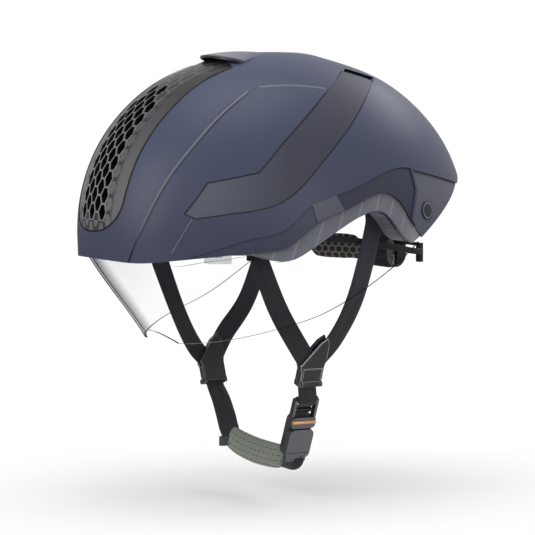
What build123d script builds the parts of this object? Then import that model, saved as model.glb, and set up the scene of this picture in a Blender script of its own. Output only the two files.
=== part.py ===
from build123d import *
import math
import os

os.makedirs("parts", exist_ok=True)

# Sizes in millimetres. Front is -Y, the wearer's left is +X and up is +Z.
# Outlines are tables of shares, each a share of the named reach or height beside it.

# Outer form
shell_half_width = 107.0
shell_front_reach = 137.0
shell_rear_reach = 151.0
crown_height = 148.0
belt_height = 24.0
form_floor = -30.0
form_roundness = 2.1
lower_wall_lean = 1.5
dome_steps = 6

# Shell layers
shell_wall = 2.4
panel_depth = 1.3
inlay_thickness = 1.0
skirt_depth = 0.8
tail_panel_depth = 1.4
band_rise = 1.2
badge_diameter = 12.7
badge_thickness = 0.9
badge_x = 91.1
badge_y = 77.5
badge_z = 39.6
badge_lift = 0.09
seat_gap = 0.3
liner_gap = 0.15
slack = 1.0

# Foam liner and head cavity
cavity_half_width = 80.0
cavity_front_reach = 110.0
cavity_rear_reach = 118.0
cavity_crown_height = 118.0
liner_front_floor = 14.0
channel_depth = 11.0
port_diameter = 16.0
port_offset = 13.0
port_heights = tuple(share * crown_height for share in (0.42, 0.6, 0.76))

# Honeycomb vent cover
vent_half_width = 32.5
vent_top = 138.5
cover_sunk = 0.3
cover_plate = 1.1
cover_ledge = 3.5
plug_depth = 3.4
cell_pitch = 11.6
cell_column_pitch = 6.5
cell_half_length = 5.1
cell_half_width = 3.7
cell_flat_half_width = 1.6
cell_low = 41.0
cell_high = 124.0
cell_side_high = 114.0

# Crown scoop
scoop_half_width = 26.0
scoop_lip_y = -48.0
scoop_heel_y = -6.0
scoop_tilt = 6.0
scoop_wall = 1.6
scoop_mouth_depth = 20.0
scoop_corner_y = -34.0
scoop_taper = 0.65

# Visor
lens_thickness = 1.8
lens_bottom = -56.0
lens_top = 45.0
lens_rear_reach = 148.0
lens_rim_height = 10.0
magnet_diameter = 6.0
magnet_thickness = 2.0
magnet_pad_width = 14.0
magnet_pad_length = 10.0
magnet_pad_height = 6.0
side_magnet_y = -78.0
side_magnet_x = 71.0
front_magnet_y = -124.0
dock_length = 9.0
dock_height = 6.0
dock_thickness = 2.4
dock_x = 67.0
dock_y = 67.0
dock_z = 28.0

# Straps, dividers and buckle
harness_unit = 100.0
webbing_width = 14.0
webbing_thickness = 1.4
lean_rise = 5.9
lean_start = 8.0
lean_depth = 34.0
divider_tilt = 20.0
divider_half_height = 17.5
divider_plate = 2.0
divider_pocket = 3.4
divider_cover = 1.6
lever_pin_radius = 1.0
lever_knuckle_radius = 1.9
lever_top = -5.5
wall_up = -10.3
wall_height = 7.6
buckle_half_width = 9.5
buckle_height = 32.0
buckle_half_thickness = 4.6
rail_half_width = 4.0
rail_lip = 1.6
rail_clearance = 0.2
loop_height = 13.0
bar_radius = 1.3
buckle_x = 49.0
buckle_y = -2.4
buckle_z = -116.4
buckle_tilt = 23.4
rail_up = -5.0
bar_up = 12.4
buckle_magnet_up = 2.2
buckle_magnet_radius = 2.5
buckle_magnet_thickness = 1.5
loop_half_thickness = 2.2
loop_cheek = 2.0
lower_bar_up = 20.4
upper_bar_up = 27.2
tongue_loop = 4.0
tail_width = 10.0
anchor_length = 19.0
anchor_width = 6.0
anchor_height = 10.0
anchor_slot = 2.2
anchor_slot_offset = 1.3
front_anchor_x = 77.0
front_anchor_y = -48.0
front_anchor_z = 14.1
rear_anchor_x = 70.2
rear_anchor_y = 47.0
rear_anchor_z = 45.0
pad_height = 17.5
pad_thickness = 7.0

# Rear retention
dial_radius = 12.0
dial_height = 6.5
dial_y = 99.0
dial_z = 5.0
dial_grip_count = 24
housing_half_width = 15.0
housing_half_height = 11.5
housing_depth = 8.0
gear_module = 1.0
pinion_teeth = 10
gear_width = 3.0
rack_addendum_share = 0.55
rack_height = 4.0
rack_reach = 48.0
rack_tail = 9.0
backlash = 0.12
band_height = 10.0
band_thickness = 1.2
rear_pad_thickness = 3.6
hanger_width = 14.0
hanger_peg_y = 112.5
hanger_peg_z = 62.0
peg_x = 77.6
peg_y = -28.0
peg_z = 22.0
peg_width = 4.2
peg_length = 10.0
peg_height = 8.0
shaft_radius = 2.5
screw_radius = 1.1
cover_thickness = 1.6
rack_tooth_count = 11
rack_lead_teeth = 3
band_tab = 5.0
rear_pad_x = 38.5
rear_pad_y = 81.7
rear_pad_z = 6.8
rear_pad_turn = 0.505
rear_pad_half_length = 24.0
rear_pad_half_height = 9.5

# Pads inside
pad_standoff = 1.5
grid_pad_thickness = 4.0
patch_thickness = 0.9
patch_side = 16.0
grid_strip_width = 23.0
brow_pad_thickness = 5.5
brow_pad_z = 34.0
brow_pad_half_width = 50.0
brow_pad_height = 24.0


def side_point(y_share, z_share):
    """A place in the side view, from shares of the reach and of the crown height."""
    reach = shell_front_reach if y_share < 0 else shell_rear_reach
    return (y_share * reach, z_share * crown_height)


def front_point(x_share, z_share):
    """A place in the front view, from shares of the half width and of the crown height."""
    return (x_share * shell_half_width, z_share * crown_height)


def draw_runs(runs, place):
    """Draws an outline from its runs: two points make a line, more make a smooth curve."""
    for run in runs:
        points = [place(*share) for share in run]
        if len(points) == 2:
            Line(*points)
        else:
            Spline(points)


def side_prism(runs, inner, outer):
    """A prism across the helmet from a side outline, between two distances from the middle."""
    with BuildPart() as prism:
        with BuildSketch(Plane.YZ.offset(inner)):
            with BuildLine():
                draw_runs(runs, side_point)
            make_face()
        extrude(amount=outer - inner)
    return prism.part


def front_prism(runs, behind, ahead):
    """A symmetric prism from half a front outline, from a distance behind to one ahead."""
    with BuildPart() as prism:
        with BuildSketch(Plane.XZ.offset(behind)):
            with BuildLine():
                draw_runs(runs, front_point)
                mirror(about=Plane.YZ)
            make_face()
        extrude(amount=ahead - behind)
    return prism.part


def vent_runs(inset):
    """Half the vent's front outline, drawn in from its real edge by the inset."""
    side_share = (vent_half_width - inset) / vent_half_width
    foot_share = inset / crown_height
    rows = []
    for across, up in vent_half_shares:
        rows.append((across * side_share, up + foot_share * (vent_top_share - up) / vent_rise_share))
    return (tuple(rows), (rows[-1], (rows[-1][0] / 2, vent_shoulder_share), (0, vent_crest_share)))


def dome(half_width, front_reach, rear_reach, crown, floor):
    """One closed form of the helmet: round above the belt, almost upright below it."""
    profile = [(half_width, belt_height)]
    for step in range(1, dome_steps):
        turn = math.pi / 2 * step / dome_steps
        across = half_width * math.cos(turn) ** (2 / form_roundness)
        height = belt_height + (crown - belt_height) * math.sin(turn) ** (2 / form_roundness)
        profile.append((across, height))
    profile.append((0, crown))
    foot = (half_width - lower_wall_lean, floor)
    faces = []
    for reach, arc in ((rear_reach, 180), (front_reach, -180)):
        with BuildPart() as half:
            with BuildSketch(Plane.XZ):
                with BuildLine():
                    Spline(profile, tangents=((0, 1), (-1, 0)))
                    Polyline((0, crown), (0, floor), foot, (half_width, belt_height))
                make_face()
            revolve(axis=Axis.Z, revolution_arc=arc)
        stretched = half.part.scale((1, reach / half_width, 1))
        faces += [face for face in stretched.faces() if abs(face.center().Y) > slack]
    return Part() + Solid(Shell(faces))


def shell_layer(inset):
    """The outer form moved inwards by the inset."""
    return dome(
        shell_half_width - inset,
        shell_front_reach - inset,
        shell_rear_reach - inset,
        crown_height - inset,
        form_floor - inset,
    )


def cavity_layer(inset):
    """The head cavity's form moved inwards by the inset."""
    return dome(
        cavity_half_width - inset,
        cavity_front_reach - inset,
        cavity_rear_reach - inset,
        cavity_crown_height - inset,
        form_floor - shell_wall - slack,
    )


def band_layer(inset):
    """The outer form with its raised front band, moved inwards by the inset."""
    return dome(
        shell_half_width - inset,
        shell_front_reach + band_rise - inset,
        shell_rear_reach - inset,
        crown_height - inset,
        form_floor - inset,
    )


def unit(vector):
    """The vector at length 1."""
    length = math.sqrt(sum(part * part for part in vector))
    return tuple(part / length for part in vector)


def cross(first, second):
    """The cross product of two vectors."""
    return (
        first[1] * second[2] - first[2] * second[1],
        first[2] * second[0] - first[0] * second[2],
        first[0] * second[1] - first[1] * second[0],
    )


def save(piece, label):
    """Names a finished piece and writes its STEP file."""
    piece.label = label
    export_step(piece, "parts/" + label + ".step")


# Side outlines, as shares of the reach (along) and of the crown height (up)
shell_edge_shares = (
    ((-1.1, 0.062), (-0.99, 0.059), (-0.93, 0.052), (-0.82, 0.064), (-0.65, 0.086), (-0.466, 0.105),
     (-0.369, 0.112), (-0.299, 0.126)),
    ((-0.299, 0.126), (-0.227, 0.175), (-0.133, 0.238), (0.045, 0.302), (0.183, 0.355), (0.24, 0.362),
     (0.287, 0.347), (0.379, 0.247)),
    ((0.379, 0.247), (0.47, 0.145)),
    ((0.47, 0.145), (0.81, 0.371)),
    ((0.81, 0.371), (1.1, 0.56)),
    ((1.1, 0.56), (1.1, 1.1)),
    ((1.1, 1.1), (-1.1, 1.1)),
    ((-1.1, 1.1), (-1.1, 0.062)),
)
liner_floor_share = liner_front_floor / crown_height
liner_edge_shares = (
    ((-1.1, liner_floor_share), (-0.455, liner_floor_share)),
    ((-0.455, liner_floor_share), (-0.405, 0.084), (-0.336, 0.065), (-0.265, 0.07), (-0.169, 0.116),
     (0.012, 0.216), (0.165, 0.279), (0.202, 0.282), (0.254, 0.261), (0.334, 0.179), (0.417, 0.124)),
    ((0.417, 0.124), (0.462, 0.148)),
    ((0.462, 0.148), (0.81, 0.392)),
    ((0.81, 0.392), (1.1, 0.58)),
    ((1.1, 0.58), (1.1, 1.1)),
    ((1.1, 1.1), (-1.1, 1.1)),
    ((-1.1, 1.1), (-1.1, liner_floor_share)),
)
skirt_shares = (
    ((-0.76, 0.03), (-0.731, 0.084)),
    ((-0.731, 0.084), (-0.652, 0.113), (-0.569, 0.141), (-0.481, 0.169), (-0.331, 0.203), (-0.264, 0.246),
     (-0.171, 0.319), (-0.032, 0.362), (0.127, 0.411), (0.225, 0.448), (0.308, 0.47), (0.37, 0.474),
     (0.418, 0.467)),
    ((0.418, 0.467), (0.434, 0.37)),
    ((0.434, 0.37), (0.396, 0.25)),
    ((0.396, 0.25), (0.396, 0.03)),
    ((0.396, 0.03), (-0.76, 0.03)),
)
facet_shares = (
    ((-0.177, 0.339), (-0.044, 0.383)),
    ((-0.044, 0.383), (0.007, 0.292)),
    ((0.007, 0.292), (-0.146, 0.242)),
    ((-0.146, 0.242), (-0.177, 0.339)),
)
tail_panel_shares = (
    ((0.432, 0.46), (0.448, 0.37)),
    ((0.448, 0.37), (0.405, 0.23)),
    ((0.405, 0.23), (0.47, 0.1)),
    ((0.47, 0.1), (0.83, 0.371)),
    ((0.83, 0.371), (0.432, 0.46)),
)
panel_shares = (
    ((-0.75, 0.284), (-0.645, 0.424)),
    ((-0.645, 0.424), (-0.416, 0.47)),
    ((-0.416, 0.47), (-0.226, 0.635), (0.078, 0.837), (0.289, 0.924)),
    ((0.289, 0.924), (0.456, 0.878)),
    ((0.456, 0.878), (0.303, 0.811), (0.186, 0.727), (0.03, 0.602), (-0.103, 0.497), (-0.193, 0.42),
     (-0.282, 0.357), (-0.364, 0.319), (-0.477, 0.295), (-0.542, 0.288)),
    ((-0.542, 0.288), (-0.709, 0.262)),
    ((-0.709, 0.262), (-0.75, 0.284)),
)
inlay_end_shares = (
    ((0.237, 0.915), (0.4, 0.858)),
    ((0.4, 0.858), (0.55, 0.858)),
    ((0.55, 0.858), (0.55, 1.05)),
    ((0.55, 1.05), (0.237, 1.05)),
    ((0.237, 1.05), (0.237, 0.915)),
)
slot_shares = (
    ((0.262, 0.912), (0.292, 0.922)),
    ((0.292, 0.922), (0.444, 0.878)),
    ((0.444, 0.878), (0.42, 0.864)),
    ((0.42, 0.864), (0.262, 0.912)),
)

lens_edge_shares = (
    ((-1.1, 0.088), (-0.87, 0.088)),
    ((-0.87, 0.088), (-0.815, 0.056), (-0.774, 0.041), (-0.66, 0.058), (-0.55, 0.074), (-0.445, 0.086),
     (-0.405, 0.077), (-0.336, 0.059), (-0.265, 0.064), (-0.169, 0.11), (0.012, 0.21), (0.165, 0.273),
     (0.202, 0.276), (0.254, 0.255), (0.334, 0.173), (0.417, 0.118)),
    ((0.417, 0.118), (0.481, 0.122)),
    ((0.481, 0.122), (0.4, 0.058), (0.193, -0.081), (-0.028, -0.198), (-0.255, -0.264), (-0.424, -0.308),
     (-0.594, -0.342)),
    ((-0.594, -0.342), (-1.1, -0.342)),
    ((-1.1, -0.342), (-1.1, 0.088)),
)

# Front outlines, as shares of the half width and of the crown height; half of each is drawn
nose_shares = (
    ((0, -0.294), (0.093, -0.299), (0.168, -0.32), (0.224, -0.345), (0.25, -0.42)),
    ((0.25, -0.42), (0, -0.42)),
)
vent_top_share = vent_top / crown_height
vent_side_share = vent_half_width / shell_half_width
vent_shoulder_share = 0.96
vent_crest_share = 0.968
vent_foot_share = 0.186
vent_rise_share = vent_top_share - vent_foot_share
vent_half_shares = (
    (0, vent_foot_share), (0.13, 0.196), (0.224, 0.23), (0.28, 0.284), (0.3, 0.351),
    (vent_side_share, 0.54), (0.299, 0.743), (0.28, 0.865), (0.262, vent_top_share),
)
band_shares = (
    ((0, 0.03), (0.33, 0.03)),
    ((0.33, 0.03), (0.439, 0.213), (0.505, 0.351), (0.542, 0.47), (0.57, 0.595), (0.561, 0.709), (0.535, 0.828)),
    ((0.535, 0.828), (0.57, 1.05)),
    ((0.57, 1.05), (0, 1.05)),
)

# Outlines and routes in shares of the divider's half height or of the harness unit
divider_shares = (
    (-0.491, -1), (0.491, -1), (0.491, -0.229), (0.56, 0.114), (0.56, 0.686), (0.457, 1), (0.171, 0.8),
    (-0.571, -0.171), (-0.491, -0.4),
)
band_rows = (
    (0.488, 0.985, 0.05, (0.35, 1)),
    (0.56, 0.935, 0.055, (0.7, 1)),
    (0.63, 0.82, 0.07, (1, 0.6)),
    (0.662, 0.66, 0.1, (1, 0.25)),
    (0.674, 0.48, 0.13, (1, 0.1)),
    (0.688, 0.3, 0.165, (1, 0.08)),
    (0.725, 0, 0.195, (1, 0)),
    (0.7485, -0.25, 0.22, (1, -0.06)),
)
yoke_rows = (
    (-0.58, 0.73, 0.055),
    (-0.38, 0.832, 0.068),
    (-0.16, 0.941, 0.06),
    (0, 0.943, 0.05),
)
hanger_shares = (
    (0.96, 0.167), (0.96, 0.3), (1.04, 0.5), (1.1, 0.575), (1.062, 0.66), (1.046, 0.655), (1.082, 0.58),
    (1.026, 0.51), (0.944, 0.305), (0.944, 0.167),
)
grid_strips = ((0, -0.92, 0.92), (-0.4, -0.7, 0.7), (0.4, -0.7, 0.7))
grid_bands = ((-0.62, 0.46, 0.22), (0.48, 0.5, 0.46))
patch_shares = (
    (0, -0.62), (0, 0.6), (0.4, -0.5), (0.4, 0), (0.4, 0.5), (-0.4, -0.5), (-0.4, 0), (-0.4, 0.5),
)

# Layers that several pieces share
outer_form = shell_layer(0)
shell_inside = shell_layer(shell_wall)
panel_floor = shell_layer(panel_depth)
skirt_floor = shell_layer(skirt_depth)
tail_floor = shell_layer(tail_panel_depth)
far = shell_half_width + 2 * slack
panel_inner = shell_half_width * 0.2
raised_front = band_layer(0)
band_prism = front_prism(band_shares, 0, shell_front_reach + 2 * band_rise)
vent_prism = front_prism(vent_runs(0), 0, shell_front_reach + 2 * band_rise)
opening_prism = front_prism(vent_runs(cover_ledge), 0, shell_front_reach + 2 * band_rise)
channel_prism = front_prism(vent_runs(cover_ledge - slack), 0, shell_front_reach)
cover_seat = band_layer(cover_sunk + cover_plate + seat_gap)
panel_prism_left = side_prism(panel_shares, panel_inner, far)
slot_prism_left = side_prism(slot_shares, panel_inner, far)
skirt_prism_left = side_prism(skirt_shares, panel_inner, far)
facet_prism_left = side_prism(facet_shares, panel_inner, far)
tail_prism_left = side_prism(tail_panel_shares, panel_inner, far)

# Outer shell: a thin dome with stepped lower facets, side recesses and the front opening
with BuildPart() as outer_shell:
    add(outer_form)
    add(raised_front & band_prism)
    add(side_prism(shell_edge_shares, -far, far), mode=Mode.INTERSECT)
    for flip in (False, True):
        panel_tool = panel_prism_left - panel_floor
        skirt_tool = skirt_prism_left - facet_prism_left - skirt_floor
        tail_tool = tail_prism_left - tail_floor
        slot_tool = slot_prism_left
        for tool in (panel_tool, skirt_tool, tail_tool, slot_tool):
            add(tool.mirror(Plane.YZ) if flip else tool, mode=Mode.SUBTRACT)
    add(vent_prism - cover_seat, mode=Mode.SUBTRACT)
    add(shell_inside, mode=Mode.SUBTRACT)
    add(opening_prism, mode=Mode.SUBTRACT)
save(outer_shell.part, "outer_shell")


# Side inlays: the light panels that lie in the shell's side recesses
inlay_top = shell_layer(panel_depth - inlay_thickness)
inlay_end_left = side_prism(inlay_end_shares, panel_inner, far)
with BuildPart() as side_inlay_left:
    add(panel_prism_left)
    add(inlay_top, mode=Mode.INTERSECT)
    add(panel_floor, mode=Mode.SUBTRACT)
    add(inlay_end_left, mode=Mode.SUBTRACT)
save(side_inlay_left.part, "side_inlay_left")
with BuildPart() as side_inlay_right:
    add(side_inlay_left.part.mirror(Plane.YZ))
save(side_inlay_right.part, "side_inlay_right")

# Tail badges: plain round discs on the two tail panels
badge_top = shell_layer(tail_panel_depth - badge_thickness)
with BuildPart() as tail_badges:
    for side in (-1, 1):
        badge_place = (side * badge_x, badge_y, badge_z)
        badge_lean = badge_lift / crown_height
        badge_normal = unit((side * badge_x / shell_half_width**2, badge_y / shell_rear_reach**2, badge_lean))
        with BuildSketch(Plane(origin=badge_place, z_dir=badge_normal)):
            Circle(badge_diameter / 2)
        extrude(amount=shell_wall, both=True)
    add(badge_top, mode=Mode.INTERSECT)
    add(tail_floor, mode=Mode.SUBTRACT)
save(tail_badges.part, "tail_badges")


def form_place(across, height):
    """A place on the front of the shell's form and the way its surface looks there."""
    rise = crown_height - belt_height
    share = max(height - belt_height, 0) / rise
    left = 1 - share**form_roundness
    radius_squared = left ** (2 / form_roundness)
    reach = shell_front_reach + band_rise
    depth = reach * math.sqrt(radius_squared - (across / shell_half_width) ** 2)
    fall = left ** (2 / form_roundness - 1) * share ** (form_roundness - 1) / rise
    normal = unit((across / shell_half_width**2, -depth / reach**2, fall))
    return (across, -depth, height), normal


def strip_heights(start):
    """Heights one cell pitch apart along the middle of the vent strip."""
    heights = []
    height = start
    while height < cell_high:
        heights.append(height)
        for _ in range(4):
            normal = form_place(0, height)[1]
            height += cell_pitch / 4 * math.hypot(normal[0], normal[1])
    return heights


# Front vent cover: a flush plate with a honeycomb of long six-sided cells cut along its normals
column_heights = strip_heights(cell_low)
between_heights = strip_heights(cell_low + cell_pitch / 2)
cell_outline = (
    (cell_half_width, 0),
    (cell_flat_half_width, cell_half_length),
    (-cell_flat_half_width, cell_half_length),
    (-cell_half_width, 0),
    (-cell_flat_half_width, -cell_half_length),
    (cell_flat_half_width, -cell_half_length),
)
with BuildPart() as cells:
    for column in (-2, -1, 0, 1, 2):
        heights = column_heights if column % 2 == 0 else between_heights
        for height in heights:
            if abs(column) == 2 and height > cell_side_high:
                continue
            place, normal = form_place(column * cell_column_pitch, height)
            across_way = unit(cross((0, 0, 1), normal))
            with BuildSketch(Plane(origin=place, x_dir=across_way, z_dir=normal)):
                Polygon(*cell_outline, align=None)
            extrude(amount=plug_depth + cover_plate, both=True)
with BuildPart() as front_vent_cover:
    add(front_prism(vent_runs(seat_gap), 0, shell_front_reach + 2 * band_rise))
    add(band_layer(cover_sunk), mode=Mode.INTERSECT)
    add(band_layer(cover_sunk + cover_plate), mode=Mode.SUBTRACT)
with BuildPart() as plug:
    add(front_prism(vent_runs(cover_ledge + seat_gap), 0, shell_front_reach + 2 * band_rise))
    add(band_layer(cover_sunk + cover_plate), mode=Mode.INTERSECT)
    add(band_layer(cover_sunk + plug_depth), mode=Mode.SUBTRACT)
with front_vent_cover:
    add(plug.part)
    add(cells.part, mode=Mode.SUBTRACT)
save(front_vent_cover.part, "front_vent_cover")


def scoop_plan(inset):
    """The scoop's outline seen from above, drawn in by the inset, as a tall prism."""
    half = scoop_half_width - inset
    with BuildPart() as prism:
        with BuildSketch(Plane.XY.offset(crown_height / 2)):
            with BuildLine():
                ThreePointArc((-half, scoop_corner_y), (0, scoop_lip_y - inset), (half, scoop_corner_y))
                Line((half, scoop_corner_y), (half * scoop_taper, scoop_heel_y - inset))
                Line((half * scoop_taper, scoop_heel_y - inset), (-half * scoop_taper, scoop_heel_y - inset))
                Line((-half * scoop_taper, scoop_heel_y - inset), (-half, scoop_corner_y))
            make_face()
        extrude(amount=crown_height)
    return prism.part


# Crown scoop: a thin raised hood over the top end of the vent, open to the front
scoop_pivot = Axis((0, scoop_heel_y, crown_height), (1, 0, 0))
scoop_outside = outer_form.rotate(scoop_pivot, -scoop_tilt)
scoop_inside = shell_layer(scoop_wall).rotate(scoop_pivot, -scoop_tilt)
with BuildPart() as scoop_mouth:
    add(scoop_plan(scoop_wall))
    add(scoop_inside, mode=Mode.INTERSECT)
    with Locations((0, scoop_lip_y, crown_height)):
        Box(2 * far, 2 * scoop_mouth_depth, crown_height, mode=Mode.INTERSECT)
with BuildPart() as crown_scoop:
    add(scoop_plan(0))
    add(scoop_outside, mode=Mode.INTERSECT)
    add(outer_form, mode=Mode.SUBTRACT)
    add(raised_front, mode=Mode.SUBTRACT)
    add(scoop_mouth.part, mode=Mode.SUBTRACT)
save(crown_scoop.part, "crown_scoop")


def strap_place(side, x_share, y_share, z_share):
    """A place on a strap. The wearer's left side hangs higher, because the helmet leans."""
    height = z_share * harness_unit
    drop = min(max((lean_start - height) / lean_depth, 0), 1)
    return (side * x_share * harness_unit, y_share * harness_unit, height + side * lean_rise * drop)


# Foam liner with its air channel, its ports and pockets for the pieces set in it
magnet_places = (
    (0, front_magnet_y),
    (side_magnet_x, side_magnet_y),
    (-side_magnet_x, side_magnet_y),
)
with BuildPart() as eps_liner:
    add(shell_layer(shell_wall + liner_gap))
    add(side_prism(liner_edge_shares, -far, far), mode=Mode.INTERSECT)
    add(channel_prism - shell_layer(shell_wall + channel_depth), mode=Mode.SUBTRACT)
    add(cavity_layer(0), mode=Mode.SUBTRACT)
    for side in (-1, 1):
        for port_height in port_heights:
            place, normal = form_place(side * port_offset, port_height)
            with BuildSketch(Plane(origin=place, z_dir=normal)):
                Circle(port_diameter / 2)
            extrude(amount=shell_half_width / 2, both=True, mode=Mode.SUBTRACT)
        with Locations((side * front_anchor_x, front_anchor_y, front_anchor_z)):
            Box(anchor_width, anchor_length, anchor_height, mode=Mode.SUBTRACT)
        with Locations((side * rear_anchor_x, rear_anchor_y, rear_anchor_z)):
            Box(anchor_width, anchor_length, anchor_height, mode=Mode.SUBTRACT)
        with Locations((side * peg_x, peg_y, peg_z)):
            Box(peg_width, peg_length, peg_height, mode=Mode.SUBTRACT)
        with Locations((side * dock_x, dock_y, dock_z)):
            Box(dock_thickness, dock_length, dock_height, mode=Mode.SUBTRACT)
    with Locations((0, hanger_peg_y, hanger_peg_z)):
        Box(hanger_width, peg_length, peg_height, mode=Mode.SUBTRACT)
    for x, y in magnet_places:
        with Locations((x, y, liner_front_floor)):
            Cylinder(magnet_diameter / 2, 2 * magnet_thickness, mode=Mode.SUBTRACT)
save(eps_liner.part, "eps_liner")


def lens_form(inset):
    """The visor's closed form, moved inwards by the inset."""
    with BuildPart() as form:
        for height, half_share, front_share in lens_sections:
            half_width = half_share * shell_half_width - inset
            front_reach = front_share * shell_front_reach - inset
            with BuildSketch(Plane.XY.offset(height)):
                with BuildLine():
                    EllipticalCenterArc((0, 0), half_width, lens_rear_reach - inset, 0, arc_size=180)
                    EllipticalCenterArc((0, 0), half_width, front_reach, 180, arc_size=180)
                make_face()
        loft()
    return form.part


# Visor: one thin lens round the face, with a nose notch and small magnet pads along its top
lens_sections = (
    (lens_bottom, 0.71, 0.614),
    (lens_bottom * 0.36, 0.8215, 0.806),
    (lens_rim_height, 0.914, 0.966),
    (lens_top, 0.949, 1.06),
)
lens_inside = lens_form(lens_thickness)
with BuildPart() as visor_lens:
    add(lens_form(0))
    add(lens_inside, mode=Mode.SUBTRACT)
    add(side_prism(lens_edge_shares, -far, far), mode=Mode.INTERSECT)
    add(front_prism(nose_shares, 0, shell_front_reach), mode=Mode.SUBTRACT)
save(visor_lens.part, "visor_lens")

pad_top = liner_front_floor - seat_gap
with BuildPart() as visor_magnet_pads:
    for x, y in magnet_places:
        with Locations((x, y, pad_top - magnet_pad_height / 2)):
            Box(magnet_pad_width, magnet_pad_length + 2 * lens_thickness, magnet_pad_height)
    add(lens_inside, mode=Mode.INTERSECT)
    for x, y in magnet_places:
        with Locations((x, y, pad_top)):
            Cylinder(magnet_diameter / 2, 2 * magnet_thickness, mode=Mode.SUBTRACT)
save(visor_magnet_pads.part, "visor_magnet_pads")

with BuildPart() as visor_magnets:
    for x, y in magnet_places:
        with Locations((x, y, pad_top - magnet_thickness / 2)):
            Cylinder(magnet_diameter / 2, magnet_thickness)
save(visor_magnets.part, "visor_magnets")

with BuildPart() as liner_magnets:
    for x, y in magnet_places:
        with Locations((x, y, liner_front_floor + magnet_thickness / 2)):
            Cylinder(magnet_diameter / 2, magnet_thickness)
save(liner_magnets.part, "liner_magnets")

with BuildPart() as visor_docks:
    for side in (-1, 1):
        with Locations((side * dock_x, dock_y, dock_z)):
            Box(dock_thickness, dock_length, dock_height)
save(visor_docks.part, "visor_docks")

# Pads that lie inside the head cavity
with BuildPart() as brow_pad:
    with Locations((0, -cavity_front_reach, brow_pad_z)):
        Box(2 * brow_pad_half_width, cavity_front_reach, brow_pad_height)
    add(cavity_layer(seat_gap), mode=Mode.INTERSECT)
    add(cavity_layer(seat_gap + brow_pad_thickness), mode=Mode.SUBTRACT)
save(brow_pad.part, "brow_pad")

with BuildPart() as grid_plan:
    with BuildSketch(Plane.XY.offset(cavity_crown_height / 2)):
        for x_share, low_share, high_share in grid_strips:
            with Locations((x_share * harness_unit, (low_share + high_share) / 2 * harness_unit)):
                SlotOverall((high_share - low_share) * harness_unit, grid_strip_width, rotation=90)
        for y_share, half_share, depth_share in grid_bands:
            depth = depth_share * harness_unit
            with Locations((0, y_share * harness_unit)):
                RectangleRounded(2 * half_share * harness_unit, depth, depth * 0.4)
    extrude(amount=cavity_crown_height)
with BuildPart() as grid_pad:
    add(grid_plan.part)
    add(cavity_layer(pad_standoff), mode=Mode.INTERSECT)
    add(cavity_layer(pad_standoff + grid_pad_thickness), mode=Mode.SUBTRACT)
save(grid_pad.part, "grid_pad")

with BuildPart() as hook_loop_patches:
    for x_share, y_share in patch_shares:
        with Locations((x_share * harness_unit, y_share * harness_unit, cavity_crown_height)):
            Box(patch_side, patch_side, cavity_crown_height)
    add(cavity_layer(seat_gap), mode=Mode.INTERSECT)
    add(cavity_layer(seat_gap + patch_thickness), mode=Mode.SUBTRACT)
save(hook_loop_patches.part, "hook_loop_patches")


def webbing(stations, width, thickness):
    """A strap as a ruled loft through its stations, each a place and the way its face looks."""
    places = [place for place, face in stations]
    with BuildPart() as strap:
        for index, (place, face) in enumerate(stations):
            before = places[max(index - 1, 0)]
            after = places[min(index + 1, len(places) - 1)]
            along = unit(tuple(end - start for start, end in zip(before, after)))
            across = unit(cross(along, face))
            with BuildSketch(Plane(origin=place, x_dir=across, z_dir=along)):
                Rectangle(width, thickness)
        loft(ruled=True)
    return strap.part


tilt_sine = math.sin(math.radians(divider_tilt))
tilt_cosine = math.cos(math.radians(divider_tilt))


def divider_place(side, along, up, out):
    """A place in a divider's own frame: along the helmet, up the plate and out from it."""
    base = strap_place(side, 0.69, -0.048, -0.663)
    return (
        base[0] + side * (up * tilt_sine + out * tilt_cosine),
        base[1] + along,
        base[2] + up * tilt_cosine - out * tilt_sine,
    )


def divider_plane(side, out):
    """The plane of a divider at a distance out. Its X is -Y on the right, so X is side times along."""
    return Plane(
        origin=divider_place(side, 0, 0, out),
        x_dir=(0, side, 0),
        z_dir=(side * tilt_cosine, 0, -tilt_sine),
    )


def divider_sketch(side, shares):
    """Draws an outline given in shares of the divider's half height."""
    rows = [(side * along * divider_half_height, up * divider_half_height) for along, up in shares]
    Polygon(*rows, align=None)


def anchors(x, y, z):
    """A pair of strap anchors with a slot in the lower face."""
    with BuildPart() as pair:
        for side in (-1, 1):
            with Locations((side * x, y, z)):
                Box(anchor_width, anchor_length, anchor_height)
            with Locations((side * (x - anchor_slot_offset), y, z - anchor_height / 2)):
                Box(anchor_slot, webbing_width + 2 * slack, anchor_height, mode=Mode.SUBTRACT)
    return pair.part


save(anchors(front_anchor_x, front_anchor_y, front_anchor_z), "front_strap_anchors")
save(anchors(rear_anchor_x, rear_anchor_y, rear_anchor_z), "rear_strap_anchors")

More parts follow.
